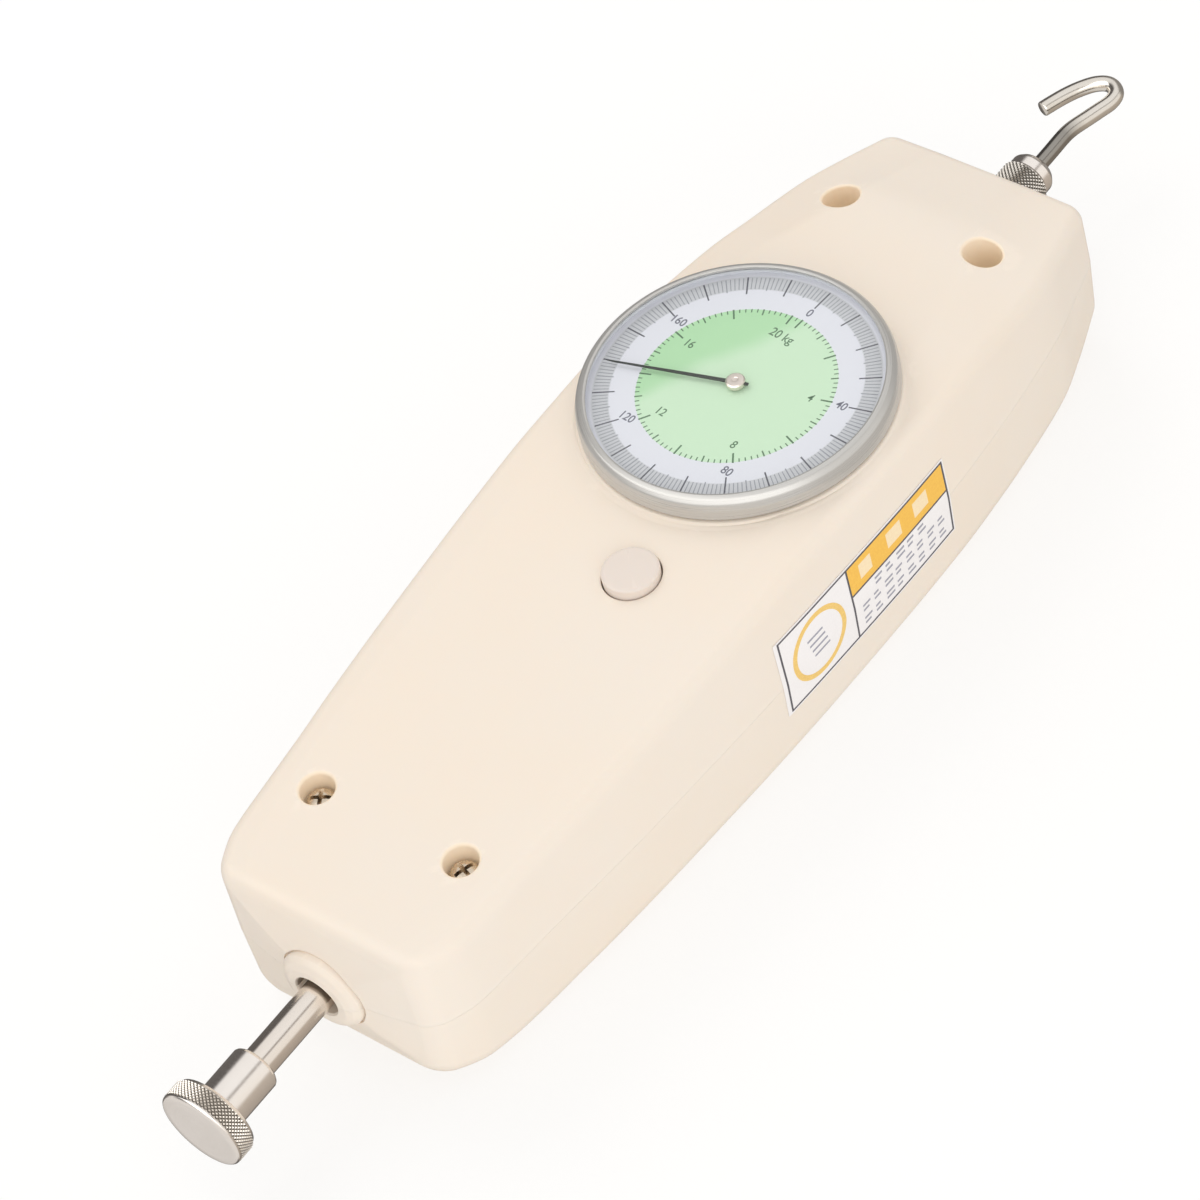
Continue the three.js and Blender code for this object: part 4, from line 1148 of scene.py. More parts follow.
def mark_knurl(ob, low, high, inner=0.0, triangles=False):
    """give the second material to the faces between two y, outside a radius (metres)"""
    verts = ob.data.vertices
    for face in ob.data.polygons:
        points = [verts[i].co for i in face.vertices]
        heights = [p.y for p in points]
        radii = [math.hypot(p.x, p.z - 0.0202) for p in points]
        inside = min(heights) > low and max(heights) < high and min(radii) >= inner
        if inside and (len(points) == 3 or not triangles):
            face.material_index = 1


disc = knurled(
    [(0, -159.6), (6.5, -159.6), (7.86, -159.6, 0.3), (8.2, -159.24, 0.2), (8.12, -158.92)],
    -158.86, -155.78, DISC_KNURL, 62, 8,
    [
        (8.1, -155.72), (7.7, -155.0, 0.18), (6.6, -155.0), (4.95, -155.0, 0.0),
        (4.5, -154.8, 0.25), (4.5, -145.0, 0.12), (4.3, -144.62, 0.15), (3.9, -144.3, 0.12),
        (SHAFT_FIT, -144.3), (SHAFT_FIT, -152.3), (0, -152.3),
    ],
)
place(
    disc, "compression_disc", ("tip", "knurl"), "shaft", "push_tip", slot="bright", angle=24
)
mark_knurl(disc, -0.15895, -0.1557, inner=0.0078)

holder = knurled(
    [(0, 83.4), (SHAFT_FIT, 83.4), (SHAFT_FIT, 77.5), (4.25, 77.5, 0.1), (4.72, 77.95, 0.1)],
    78.05, 84.05, HOLDER_KNURL, 34, 14,
    [
        (4.72, 84.15), (4.4, 84.6, 0.15), (4.4, 86.6, 0.9), (3.6, 87.7, 0.8),
        (2.4, 88.1, 0.5), (1.6, 88.1, 0.1), (1.6, 84.5), (0, 84.5),
    ],
)
place(
    holder, "hook_holder", ("tip", "knurl"), "shaft", "hook_collar", slot="bright", angle=24
)
mark_knurl(holder, 0.0779, 0.0842, triangles=True)


# ------------------------------------------------------------------ shaft and hook
def build_shaft():
    profile = [
        (0, -152), (2.6, -152, 0.1), (SHAFT_RADIUS, -151.6, 0.1), (SHAFT_RADIUS, 82.6, 0.1),
        (2.6, 83, 0.1), (0, 83),
    ]
    shaft = cut(turned(profile, 128, axis="y"), box(-5, -2.3, -5.6, 24, -4, 4))  # rack's flat
    tapped = [(0, -4), (0.75, -4), (0.75, -0.6), (0, -0.45)]
    for y in RACK_SCREWS_Y:
        cut(shaft, turned(tapped, 24, (y, 0), axis="x"))
    place(shaft, "load_shaft", "shaft", "shaft", "main_shaft", slot="bright", angle=30)


def catmull(points, steps):
    """centripetal Catmull-Rom curve through the points"""
    points = [np.array(p, float) for p in points]
    points = [2 * points[0] - points[1]] + points + [2 * points[-1] - points[-2]]
    out = []
    for i in range(1, len(points) - 2):
        p0, p1, p2, p3 = points[i - 1 : i + 3]
        t0 = 0
        t1 = t0 + np.linalg.norm(p1 - p0) ** 0.5
        t2 = t1 + np.linalg.norm(p2 - p1) ** 0.5
        t3 = t2 + np.linalg.norm(p3 - p2) ** 0.5
        for s in range(steps):
            t = t1 + (t2 - t1) * s / steps
            a1 = (t1 - t) / (t1 - t0) * p0 + (t - t0) / (t1 - t0) * p1
            a2 = (t2 - t) / (t2 - t1) * p1 + (t - t1) / (t2 - t1) * p2
            a3 = (t3 - t) / (t3 - t2) * p2 + (t - t2) / (t3 - t2) * p3
            b1 = (t2 - t) / (t2 - t0) * a1 + (t - t0) / (t2 - t0) * a2
            b2 = (t3 - t) / (t3 - t1) * a2 + (t - t1) / (t3 - t1) * a3
            out.append((t2 - t) / (t2 - t1) * b1 + (t - t1) / (t2 - t1) * b2)
    out.append(points[-2])
    return np.array(out)


def resample(path, step):
    """evenly spaced points along a path"""
    lengths = np.linalg.norm(np.diff(path, axis=0), axis=1)
    distance = np.r_[0, np.cumsum(lengths)]
    places = np.linspace(0, distance[-1], max(8, int(distance[-1] / step)))
    return np.stack([np.interp(places, distance, path[:, k]) for k in range(3)], 1)


# x, y of the hook wire's centre line
HOOK = [
    (0, 84.7), (0, 92), (0, 98), (0.35, 99.9), (1.3, 102.9), (2.2, 105.9), (2.95, 108.6),
    (2.5, 111.0), (0.2, 112.4), (-2.1, 111.5), (-4.2, 109), (-5.7, 106.3), (-6.8, 103.6),
    (-7.8, 100.8),
]


def build_hook():
    path = resample(catmull([(x, y, 0) for x, y in HOOK], steps=20), step=0.35)
    for _ in range(6):  # ease the bends, ends kept
        path[1:-1] = path[1:-1] * 0.5 + (path[:-2] + path[2:]) * 0.25
    wire = sweep(path[1:-2], 1.5, 48)
    place(wire, "hook_wire", "hook", "shaft", "hook", slot="bright", angle=40)


build_shaft()
build_hook()


# ------------------------------------------------------------------ springs
def coil(radius, low, high, turns, steps, dead_turns, wire):
    """centre line of a coil along the third axis, its dead coils close together at both ends"""
    points = []
    count = int(turns * steps)
    dead_pitch = wire * 2.02
    live = turns - 2 * dead_turns
    live_length = (high - low) - 2 * dead_turns * dead_pitch
    for i in range(count + 1):
        turn = i / count * turns
        angle = 2 * math.pi * turns * (i / count)
        if turn < dead_turns:
            height = low + dead_pitch * turn
        elif turn > turns - dead_turns:
            height = high - dead_pitch * (turns - turn)
        else:
            height = low + dead_turns * dead_pitch + live_length * (turn - dead_turns) / live
        points.append((radius * math.cos(angle), radius * math.sin(angle), height))
    return np.array(points)


def build_springs():
    path = coil(6.9, -82.3, -27.7, turns=14, steps=40, dead_turns=0.9, wire=1.5)
    load_spring = sweep(path[:, [0, 2, 1]], 1.42, 16)  # laid along y
    place(load_spring, "load_spring", "spring", "case", "main_spring", slot="spring", angle=50)
    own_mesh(load_spring)
    path = coil(2.9, 17.45, 21.6, turns=5, steps=36, dead_turns=0.7, wire=0.26)
    button_spring = sweep(path + np.array([*BUTTON_AT, 0]), 0.26, 12)
    place(
        button_spring, "button_return_spring", "spring", "case", "button_spring",
        slot="spring", angle=50,
    )
    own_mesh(button_spring)


build_springs()

# ------------------------------------------------------------------ bezel, window, dial
DIAL_RIM = 27.74
DIAL_TOP = 26.6
BEZEL = [
    (27.8, 23.6), (28.25, 23.6, 0.1), (28.8, 24.1, 0.12), (28.8, 26.2, 1.4),
    (28.45, 27.35, 1.3), (27.75, 28.15, 1.1), (26.98, 28.5, 0.25), (26.6, 28.36, 0.12),
    (26.6, 27.86), (27.8, 27.86), (27.8, 25.8), (28.2, 25.5), (28.2, 24.7), (27.8, 24.4),
    (27.8, 23.6),
]
SPACER = [
    (26.9, 26.62), (DIAL_RIM, 26.62, 0.06), (DIAL_RIM, 27.26, 0.06), (27.0, 27.26, 0.1),
    (26.9, 27.1), (26.9, 26.62),
]
DIAL = [
    (1.25, 25.75), (27.5, 25.75, 0.1), (DIAL_RIM, 26.0, 0.1), (DIAL_RIM, DIAL_TOP, 0.05),
    (1.25, DIAL_TOP, 0.05), (1.25, 25.75),
]


def dome(middle_z, edge_radius, edge_z, steps=14):
    """profile of a shallow arc, from the axis outwards"""
    rise = middle_z - edge_z
    ball = (edge_radius * edge_radius + rise * rise) / (2 * rise)
    radii = [edge_radius * i / steps for i in range(steps + 1)]
    return [(r, middle_z - ball + math.sqrt(ball * ball - r**2)) for r in radii]


def build_bezel():
    bezel = turned(BEZEL, 256, arc_steps=8)
    place(bezel, "bezel_turned", "bezel", "bezel", "bezel_ring", slot="bezel", angle=34)
    rim = [(27.0, 27.32), (27.7, 27.32, 0.05), (27.7, 27.8, 0.05)]
    lens = dome(28.32, 26.2, 27.62) + rim + dome(29.08, 26.35, 27.86)[::-1]
    glass = turned(lens, 192, arc_steps=3)
    place(glass, "dial_window", "glass", "bezel", "crystal", slot="glass", angle=30)
    for profile, name, key, node in (
        (SPACER, "dial_rim_spacer", "spacer", "dial_spacer_ring"),
        (DIAL, "dial_disc", "dial", "dial_plate"),
    ):
        place(turned(profile, 192), name, key, "bezel", node, slot="dial", angle=30)


build_bezel()

# ------------------------------------------------------------------ printed scales
DIAL_TURN = 4.6  # degrees clockwise from +y to the dial's zero
OUTER_STEPS = 200  # graduations round the outer scale
INNER_STEPS = 102  # and round the inner one, which spans 20.4 kg
OUTER_PITCH = 1.8  # degrees
INNER_KG = 20.4


def stroke(degrees, inner, outer, width):
    """corners of one printed stroke: a thin bar along a radius, slightly tapered"""
    angle = math.radians(degrees)
    along = np.array([math.sin(angle), math.cos(angle)])
    across = np.array([-along[1], along[0]])
    corners = [
        along * inner - across * width * 0.46,
        along * outer - across * width * 0.5,
        along * outer + across * width * 0.5,
        along * inner + across * width * 0.46,
    ]
    return [(p[0], p[1], z) for z in (DIAL_TOP - 0.01, DIAL_TOP + 0.014) for p in corners]


def strokes(bars):
    verts, faces = [], []
    for bar in bars:
        base = len(verts)
        faces += [tuple(base + i for i in f) for f in outward(np.array(bar), PRISM_FACES)]
        verts += bar
    return solid(verts, faces, orient=False)


def build_graduations():
    fine, bold, inner = [], [], []
    for k in range(OUTER_STEPS):
        degrees = DIAL_TURN + k * OUTER_PITCH
        if k % 10 == 0:
            bold.append(stroke(degrees, 21.7 if k % 40 else 21.35, 25.75, 0.30))
        elif k % 5 == 0:
            fine.append(stroke(degrees, 22.5, 25.6, 0.22))
        else:
            fine.append(stroke(degrees, 22.85, 25.6, 0.17))
    for k in range(INNER_STEPS):
        degrees = DIAL_TURN + k * 360 / INNER_STEPS
        if k % 10 == 0:
            inner.append(stroke(degrees, 15.9, 18.15, 0.34))
        elif k % 5 == 0:
            inner.append(stroke(degrees, 16.7, 18.1, 0.28))
        else:
            inner.append(stroke(degrees, 17.25, 18.05, 0.22))
    for name, key, bars in (
        ("fine", "ink_fine", fine), ("bold", "ink_bold", bold), ("inner", "ink_green", inner)
    ):
        place(strokes(bars), f"scale_{name}_marks", key, "bezel", slot="dial", flat=True)


def digits(text, radius, degrees, size, heavy):
    """a number of the scale, upright with the dial"""
    curve = bpy.data.curves.new("number", "FONT")
    curve.body = text
    curve.size = size
    curve.align_x = "CENTER"
    curve.align_y = "CENTER"
    curve.extrude = 0.012
    curve.offset = heavy
    curve.resolution_u = 6
    text_ob = bpy.data.objects.new("number", curve)
    bpy.context.scene.collection.objects.link(text_ob)
    mesh = evaluated_mesh(text_ob)
    bpy.data.objects.remove(text_ob)
    angle = math.radians(degrees + DIAL_TURN)
    at = (radius * math.sin(angle), radius * math.cos(angle), DIAL_TOP + 0.004)
    turn = Matrix.Rotation(-math.radians(DIAL_TURN), 4, "Z")
    mesh.transform(Matrix.Translation(at) @ turn @ Matrix.Diagonal((0.86, 1, 1, 1)))
    ob = bpy.data.objects.new("number", mesh)
    bpy.context.scene.collection.objects.link(ob)
    return ob


def build_numbers():
    outer = [
        digits(str(v), 20.0 if v != 120 else 19.9, v * OUTER_PITCH, size=2.5, heavy=0.03)
        for v in (0, 40, 80, 120, 160)
    ]
    name = "scale_numbers_outer"
    place(gather(outer), name, "ink_number", "bezel", slot="dial", flat=True)
    inner = [
        digits(str(v), 14.0, v * 360 / INNER_KG, size=2.45, heavy=0.02) for v in (4, 8, 12, 16)
    ]
    inner.append(digits("20 kg", 13.2, 20 * 360 / INNER_KG + 4.0, size=2.7, heavy=0.02))
    name = "scale_numbers_inner"
    place(gather(inner), name, "ink_green", "bezel", slot="dial", flat=True)


build_graduations()
build_numbers()

# ------------------------------------------------------------------ pointer
POINTER_TURN = math.radians(254.9)  # clockwise from +y
# one side of the hand, from tail to tip: length, half width
HAND = [(-2.4, 0.30), (2.0, 0.36), (13.0, 0.27), (23.4, 0.13)]
HUB_CAP = [
    (0, 27.98), (0.82, 27.98), (0.82, 27.56), (1.78, 27.56, 0.05), (1.78, 27.86, 0.12),
    (1.5, 28.08, 0.1), (0.62, 28.1, 0.05), (0.5, 28.02, 0.05), (0, 28.0),
]


def build_pointer():
    along = np.array([math.sin(POINTER_TURN), math.cos(POINTER_TURN)])
    across = np.array([-along[1], along[0]])
    outline = [(d, -w) for d, w in HAND] + [(24.7, 0)] + HAND[::-1]
    hand = plate([tuple(along * d + across * w) for d, w in outline], 27.26, 27.5)
    merge(hand, rod(1.7, 27.0, 27.52, segments=64))
    cut(hand, *drills(0.82, 26, 29, [(0, 0)]))
    soften(hand, 0.04)
    place(hand, "pointer_hand", ("pointer", "hub"), "pointer_set", "pointer", slot="pointer")
    # the boss is bare metal
    verts = hand.data.vertices
    for face in hand.data.polygons:
        points = [verts[i].co for i in face.vertices]
        if max(math.hypot(p.x, p.y) for p in points) < 0.00176:
            face.material_index = 1
    place(
        turned(HUB_CAP), "pointer_hub_turned", "hub", "pointer_set", "pointer_hub_cap",
        slot="bright", angle=30,
    )


build_pointer()

# ------------------------------------------------------------------ release button
BUTTON = [
    (0, 14.6), (0.75, 14.6, 0.05), (0.75, 15.0), (1.0, 15.0, 0.04), (1.0, 22.2, 0.2),
    (4.1, 22.2, 0.3), (4.1, 18.9), (BUTTON_RADIUS, 18.9, 0.15), (BUTTON_RADIUS, 23.3, 0.42),
    (4.6, 23.52, 0.4), (2.6, 23.6, 1.5), (0, 23.6),
]
CLIP = [(0.8, 14.62), (2.2, 14.62, 0.08), (2.2, 14.98, 0.08), (0.8, 14.98), (0.8, 14.62)]
place(
    turned(BUTTON, 128, BUTTON_AT, arc_steps=7), "release_button_cap", "button", "button",
    "release_button", slot="button", angle=40,
)
place(
    turned(CLIP, 48, BUTTON_AT), "button_retaining_ring", "steel", "button", "button_clip",
    slot="steel", angle=30,
)

# ------------------------------------------------------------------ label on the +x wall
LABEL_Y = (-36.2, 13.85)
LABEL_Z = (-11.4, 7.6)
LINE = 0.42  # width of the border lines


def on_wall(y, z, off):
    """a label point on the side wall; the label is stuck on a little askew"""
    z += 2.7 - 0.027 * y
    return (wall_x(y, z) + off, y, z)


def sheet(patches, low, high):
    """thin closed patches between two heights off the wall; a patch is a grid of (y, z)"""
    verts, faces = [], []
    for patch in patches:
        rows, columns = len(patch), len(patch[0])
        base = len(verts)
        verts += [on_wall(y, z, off) for off in (low, high) for row in patch for y, z in row]
        size = rows * columns
        local = []
        for i in range(rows - 1):
            for j in range(columns - 1):
                p = i * columns + j
                quad = (p, p + 1, p + columns + 1, p + columns)
                local += [tuple(size + q for q in quad), tuple(reversed(quad))]
        rim = [(0, j) for j in range(columns)]
        rim += [(i, columns - 1) for i in range(1, rows)]
        rim += [(rows - 1, j) for j in range(columns - 2, -1, -1)]
        rim += [(i, 0) for i in range(rows - 2, 0, -1)]
        rim = [i * columns + j for i, j in rim]
        local += band(rim, [size + p for p in rim])
        local = outward(np.array(verts[base:]), local)
        faces += [tuple(base + i for i in face) for face in local]
    return solid(verts, faces, orient=False)


def grid(y0, y1, z0, z1, step=1.2):
    rows, columns = max(1, int(abs(y1 - y0) / step)), max(1, int(abs(z1 - z0) / step))
    return [
        [(y0 + (y1 - y0) * i / rows, z0 + (z1 - z0) * j / columns) for j in range(columns + 1)]
        for i in range(rows + 1)
    ]


def label_ring(at, inner, outer, segments=96):
    verts = []
    for off in (0.17, 0.2):
        for radius in (inner, outer):
            verts += [on_wall(y, z, off) for y, z in circle(radius, segments, at)]
    low_in, low_out, high_in, high_out = (
        list(range(i * segments, (i + 1) * segments)) for i in range(4)
    )
    faces = band(low_in, low_out) + band(high_in, high_out, swap=True)
    faces += band(low_in, high_in, swap=True) + band(low_out, high_out)
    return solid(verts, faces)


def print_on_label(ob, name, key):
    place(ob, name, key, "case", slot="label", angle=20)


def build_label():
    base = sheet([grid(*LABEL_Y, *LABEL_Z)], 0.05, 0.17)
    place(base, "label_sheet", "label", "case", "side_label", slot="label", angle=20)
    divider = LABEL_Y[0] + 20.6  # y of the line between the two boxes
    header = LABEL_Z[1] - 7.7  # z of the foot of the coloured header
    half = LINE / 2
    y0, y1 = LABEL_Y[0] + 0.9, LABEL_Y[1] - 0.35
    z0, z1 = LABEL_Z[0] + 0.35, LABEL_Z[1] - 0.35
    lines = [
        grid(y0, y0 + LINE, z0, z1),
        grid(y1 - LINE, y1, z0, z1),
        grid(y0 + LINE, y1 - LINE, z1 - LINE, z1),
        grid(y0 + LINE, y1 - LINE, z0, z0 + LINE),
        grid(divider - half, divider + half, z0 + LINE, z1 - LINE),
        grid(divider + half, y1 - LINE, header - half, header + half),
    ]
    print_on_label(sheet(lines, 0.165, 0.195), "label_border", "label_dark")
    header_patch = grid(
        divider + half + 0.02, y1 - LINE - 0.02, header + half + 0.02, z1 - LINE - 0.02
    )
    print_on_label(sheet([header_patch], 0.165, 0.19), "label_header", "label_orange")
    ring_y, ring_z = (y0 + divider) / 2, sum(LABEL_Z) / 2
    print_on_label(label_ring((ring_y, ring_z), 6.3, 7.45), "label_ring", "label_ring")
    blocks = []
    for k, width in enumerate((3.4, 4.2, 4.2)):
        y = divider + 3.2 + k * 8.1
        blocks.append(grid(y, y + width, header + 1.9, z1 - 1.9, 1.0))
    print_on_label(sheet(blocks, 0.185, 0.2), "label_header_blocks", "label_pale")
    bars = []
    widths = (2.1, 1.8, 2.3, 1.9, 2.2, 1.7, 2.1, 1.9)
    # rows of paired bars: count, first y from the divider, z from the header's foot
    for count, indent, drop in ((5, 6.4, 1.0), (8, 2.2, 4.3), (8, 2.2, 7.6)):
        for k in range(count):
            y = divider + indent + k * 3.25
            for s in range(2):
                end = y + widths[k] - (0.5 if (k + s) % 3 == 1 else 0)
                top = header - drop - s * 1.2
                bars.append(grid(y, end, top - 0.5, top, 1.0))
    for s in range(4):  # plain hatching inside the ring
        y, z = ring_y + s * 0.35, ring_z - s * 1.5
        bars.append(grid(y - 2.9, y + 1.4, z + 2.4, z + 2.85, 1.0))
    print_on_label(sheet(bars, 0.165, 0.19), "label_bars", "label_grey")


build_label()

# ------------------------------------------------------------------ movement inside the case
CUP_POSTS = [(13.5, -2), (11, 21), (-18, 0)]
PLATE_PILLARS = [(-20, -8), (12.5, -10), (13, 28), (-20, 29)]
WHEEL_AT = (-9.0, 14.08)
LEVER_PIN_AT = (-24.0, 13.2)  # y, z
FRAME_OUTLINE = [
    (-10, -116), (10, -116), (10, -52), (15.5, -48), (16, -26), (16, 34), (10, 40), (10, 62),
    (-10, 62), (-10, 40), (-24, 34), (-24, -14), (-12.5, -24), (-12.5, -48), (-10, -52),
]
# x, y and z ranges of the two bearing walls, the middle wall, and the lever's shelf and ears
FRAME_WALLS = [
    (-9, 9, -113, -109, -10, 8),
    (-9, 9, 57, 61, -10, 8),
    (-10, 10, -26, -22, -10, 9),
    (0.2, 12.6, -26, -22, 8.5, 10.4),
    (0.2, 2.4, -26, -22, 9, 15.4),
    (10.6, 12.6, -26, -22, 9, 15.4),
]
DISC_BUSH = [
    (SHAFT_FIT, -114.4), (6.4, -114.4, 0.15), (6.4, -113.02, 0.1), (5.0, -113.02),
    (5.0, -107.5, 0.2), (SHAFT_FIT, -107.5, 0.12), (SHAFT_FIT, -114.4),
]
HOOK_BUSH = [
    (SHAFT_FIT, 55.5), (5.0, 55.5, 0.2), (5.0, 61.02), (6.4, 61.02, 0.1), (6.4, 62.4, 0.15),
    (SHAFT_FIT, 62.4, 0.12), (SHAFT_FIT, 55.5),
]
SPRING_SEAT = [
    (3.04, -90), (7.6, -90, 0.2), (8.4, -89.2, 0.2), (8.4, -84.04, 0.12), (5.0, -84.04, 0.15),
    (4.7, -81.4, 0.2), (3.04, -81.4), (3.04, -90),
]


def build_frame():
    frame = merge(plate(FRAME_OUTLINE, -11, -9.5), *[box(*wall) for wall in FRAME_WALLS])
    for radius, low, high in ((5.06, -114, -108), (5.06, 56, 62), (4.4, -27, -21)):
        cut(frame, rod(radius, low, high, segments=64, axis="y"))
    cut(frame, rod(1.05, -2, 15, LEVER_PIN_AT, axis="x"))
    cut(frame, *drills(1.75, -12, -9, STANDOFFS))
    cut(frame, *drills(0.85, -12, -9, [WHEEL_AT]))
    cut(frame, *drills(1.25, -12, -9, PLATE_PILLARS))
    place(soften(frame, 0.12), "inner_frame", "frame", "case", "frame_plate", slot="frame")
    for profile, name, body, node in (
        (DISC_BUSH, "bush_disc_end", "case", "shaft_bush_disc_end"),
        (HOOK_BUSH, "bush_hook_end", "case", "shaft_bush_hook_end"),
        (SPRING_SEAT, "spring_seat", "shaft", "spring_collar"),
    ):
        place(turned(profile, axis="y"), name, "brass", body, node, slot="brass")


TOOTH_PITCH = 1.25
MODULE = TOOTH_PITCH / math.pi
BACKLASH = 0.09
PRESSURE = math.radians(20)
ADDENDUM, DEDENDUM = MODULE * 0.92, MODULE * 1.25
PINION_TEETH = 20


def half_tooth(teeth, radius):
    """half the angle an involute tooth spans at a radius"""
    pitch_radius = MODULE * teeth / 2
    base = pitch_radius * math.cos(PRESSURE)
    pressure_here = math.acos(base / max(radius, base))
    involute, involute_here = (math.tan(a) - a for a in (PRESSURE, pressure_here))
    return math.pi / (2 * teeth) - BACKLASH / (2 * pitch_radius) + involute - involute_here


def gear(teeth, phase, at, z0, z1, flank=5):
    pitch_radius = MODULE * teeth / 2
    tip, root = pitch_radius + ADDENDUM, pitch_radius - DEDENDUM
    base = pitch_radius * math.cos(PRESSURE)
    start = max(root, base)
    radii = [root]
    for i in range(0 if base > root else 1, flank + 1):
        radii.append(start + (tip - start) * i / flank)
    sides = [(-1, r) for r in radii] + [(1, r) for r in reversed(radii)]
    points = []
    for k in range(teeth):
        middle = phase + k * 2 * math.pi / teeth
        for side, radius in sides:
            angle = middle + side * half_tooth(teeth, radius)
            points.append((at[0] + radius * math.cos(angle), at[1] + radius * math.sin(angle)))
    return plate(points, z0, z1)


def build_rack():
    pitch_x = WHEEL_AT[0] + MODULE * PINION_TEETH / 2
    root, tip = pitch_x + DEDENDUM, pitch_x - ADDENDUM
    half = TOOTH_PITCH / 4 - BACKLASH / 2
    slope = math.tan(PRESSURE)
    wide, narrow = half + DEDENDUM * slope, half - ADDENDUM * slope
    middle = WHEEL_AT[1]
    back = -2.34  # x of the face against the shaft's flat
    start, end = middle - 11.5 * TOOTH_PITCH - 4.6, middle + 4 * TOOTH_PITCH + 4.2
    outline = [(back, start), (root, start)]
    for k in range(-11, 4):
        y = middle + (k + 0.5) * TOOTH_PITCH
        outline += [(root, y - wide), (tip, y - narrow), (tip, y + narrow), (root, y + wide)]
    outline += [(root, end), (back, end)]
    rack = plate(outline, -2.2, 2.2)
    for y in RACK_SCREWS_Y:
        cut(rack, rod(0.75, -8, -2, (y, 0), 32, axis="x"))
    place(rack, "rack_fine", "steel", "shaft", "rack_bar", slot="steel", angle=25)
    profile = [
        (0, -6.2), (1.2, -6.2, 0.1), (1.45, -5.95, 0.1), (1.45, -4.56), (0.68, -4.56),
        (0.68, -0.9, 0.1), (0, -0.9),
    ]
    for i, y in enumerate(RACK_SCREWS_Y):
        ob = turned(profile, 48, (y, 0), axis="x")
        cut(ob, box(-7, -5.75, y - 0.16, y + 0.16, -3, 3))
        place(
            ob, f"rack_screw_fine_{i + 1}", "screw", "shaft", f"rack_screw_{i + 1}", slot="screw"
        )


WHEEL_ARBOR = [
    (0, -10.9), (0.75, -10.9, 0.08), (0.75, -9.2), (1.5, -9.2, 0.1), (1.5, 4.9), (1.1, 4.9),
    (1.1, 7.2, 0.1), (0.75, 7.2), (0.75, 9.3, 0.12), (0, 9.3),
]
POINTER_ARBOR = [
    (0, 3.75), (0.5, 3.75, 0.06), (0.5, 4.75), (1.3, 4.75, 0.08), (1.3, 7.6, 0.1), (1.0, 7.6),
    (1.0, 26.85, 0.1), (0.7, 26.85), (0.7, 27.9, 0.1), (0, 27.9),
]


def wheel_opening(k):
    """cutter for one of the five openings between the wheel's spokes"""
    start = k * 2 * math.pi / 5 + 0.17
    swing = (k + 1) * 2 * math.pi / 5 - 0.17 - start
    rim = [(9.6, start + swing * i / 12) for i in range(13)]
    hub = [(3.6, start + 0.12 + (swing - 0.24) * i / 6) for i in range(6, -1, -1)]
    x, y = WHEEL_AT
    return plate([(x + r * math.cos(a), y + r * math.sin(a)) for r, a in rim + hub], 4, 8)


def build_wheels():
    to_pointer = math.atan2(-WHEEL_AT[1], -WHEEL_AT[0])
    arbor = turned(WHEEL_ARBOR, 48, WHEEL_AT)
    merge(arbor, gear(PINION_TEETH, 0, WHEEL_AT, -1.9, 1.9))
    place(arbor, "wheel_arbor_fine", "steel", "wheel", "wheel_arbor", slot="steel", angle=25)
    wheel = gear(60, to_pointer, WHEEL_AT, 5.05, 6.25, flank=3)
    cut(wheel, rod(1.14, 4, 8, WHEEL_AT, 40), *[wheel_opening(k) for k in range(5)])
    place(wheel, "gear_wheel_fine", "brass", "wheel", "gear_wheel", slot="brass", angle=25)
    # half a tooth round, so that its teeth meet the wheel's gaps
    phase = to_pointer + math.pi + math.pi / 24
    arbor = merge(turned(POINTER_ARBOR, 48), gear(24, phase, (0, 0), 4.95, 6.35))
    place(
        arbor, "pointer_arbor_fine", "steel", "pointer_set", "pointer_arbor",
        slot="steel", angle=25,
    )


def pillars(name, node, places, radius, z0, z1, tail, head):
    """turned posts with a thinner stub at each end"""
    profile = [
        (0, z0 - tail), (1.15, z0 - tail, 0.12), (1.15, z0), (radius, z0, 0.15),
        (radius, z1, 0.15), (1.15, z1), (1.15, z1 + head, 0.15), (0, z1 + head),
    ]
    for i, at in enumerate(places):
        ob = turned(profile, 48, at)
        place(ob, f"{name}_{i + 1}", "brass", "case", f"{node}_{i + 1}", slot="brass")


def build_plates():
    bridge = box(-13.8, 13.8, -3.5, 3.5, 3.55, 4.6)
    merge(bridge, *[box(x, x + 1.2, -3.5, 3.5, -9.48, 4) for x in (-13.8, 12.6)])
    cut(bridge, *drills(0.58, 3, 5, [(0, 0)]))
    bridge = soften(bridge, 0.12)
    place(bridge, "arbor_bridge_fine", "frame", "case", "arbor_bridge", slot="steel")
    outline = [
        (-22.5, -12), (-20, -13.5), (14, -13.5), (16, -12), (16, 30), (14, 32), (-20.5, 32),
        (-22.5, 30),
    ]
    movement_plate = plate(outline, 8, 9.4)
    cut(movement_plate, *drills(1.08, 7, 11, [(0, 0)]), *drills(0.85, 7, 11, [WHEEL_AT]))
    cut(movement_plate, *drills(1.25, 7, 11, PLATE_PILLARS + CUP_POSTS))
    movement_plate = soften(movement_plate, 0.1)
    place(
        movement_plate, "movement_plate_fine", "brass", "case", "movement_plate", slot="brass"
    )
    pillars(
        "plate_pillar_fine", "plate_pillar", PLATE_PILLARS,
        radius=2.2, z0=-9.47, z1=7.97, tail=1.4, head=1.3,
    )
    pillars(
        "cup_post_fine", "cup_post", CUP_POSTS,
        radius=2.0, z0=9.43, z1=20.47, tail=1.3, head=1.0,
    )


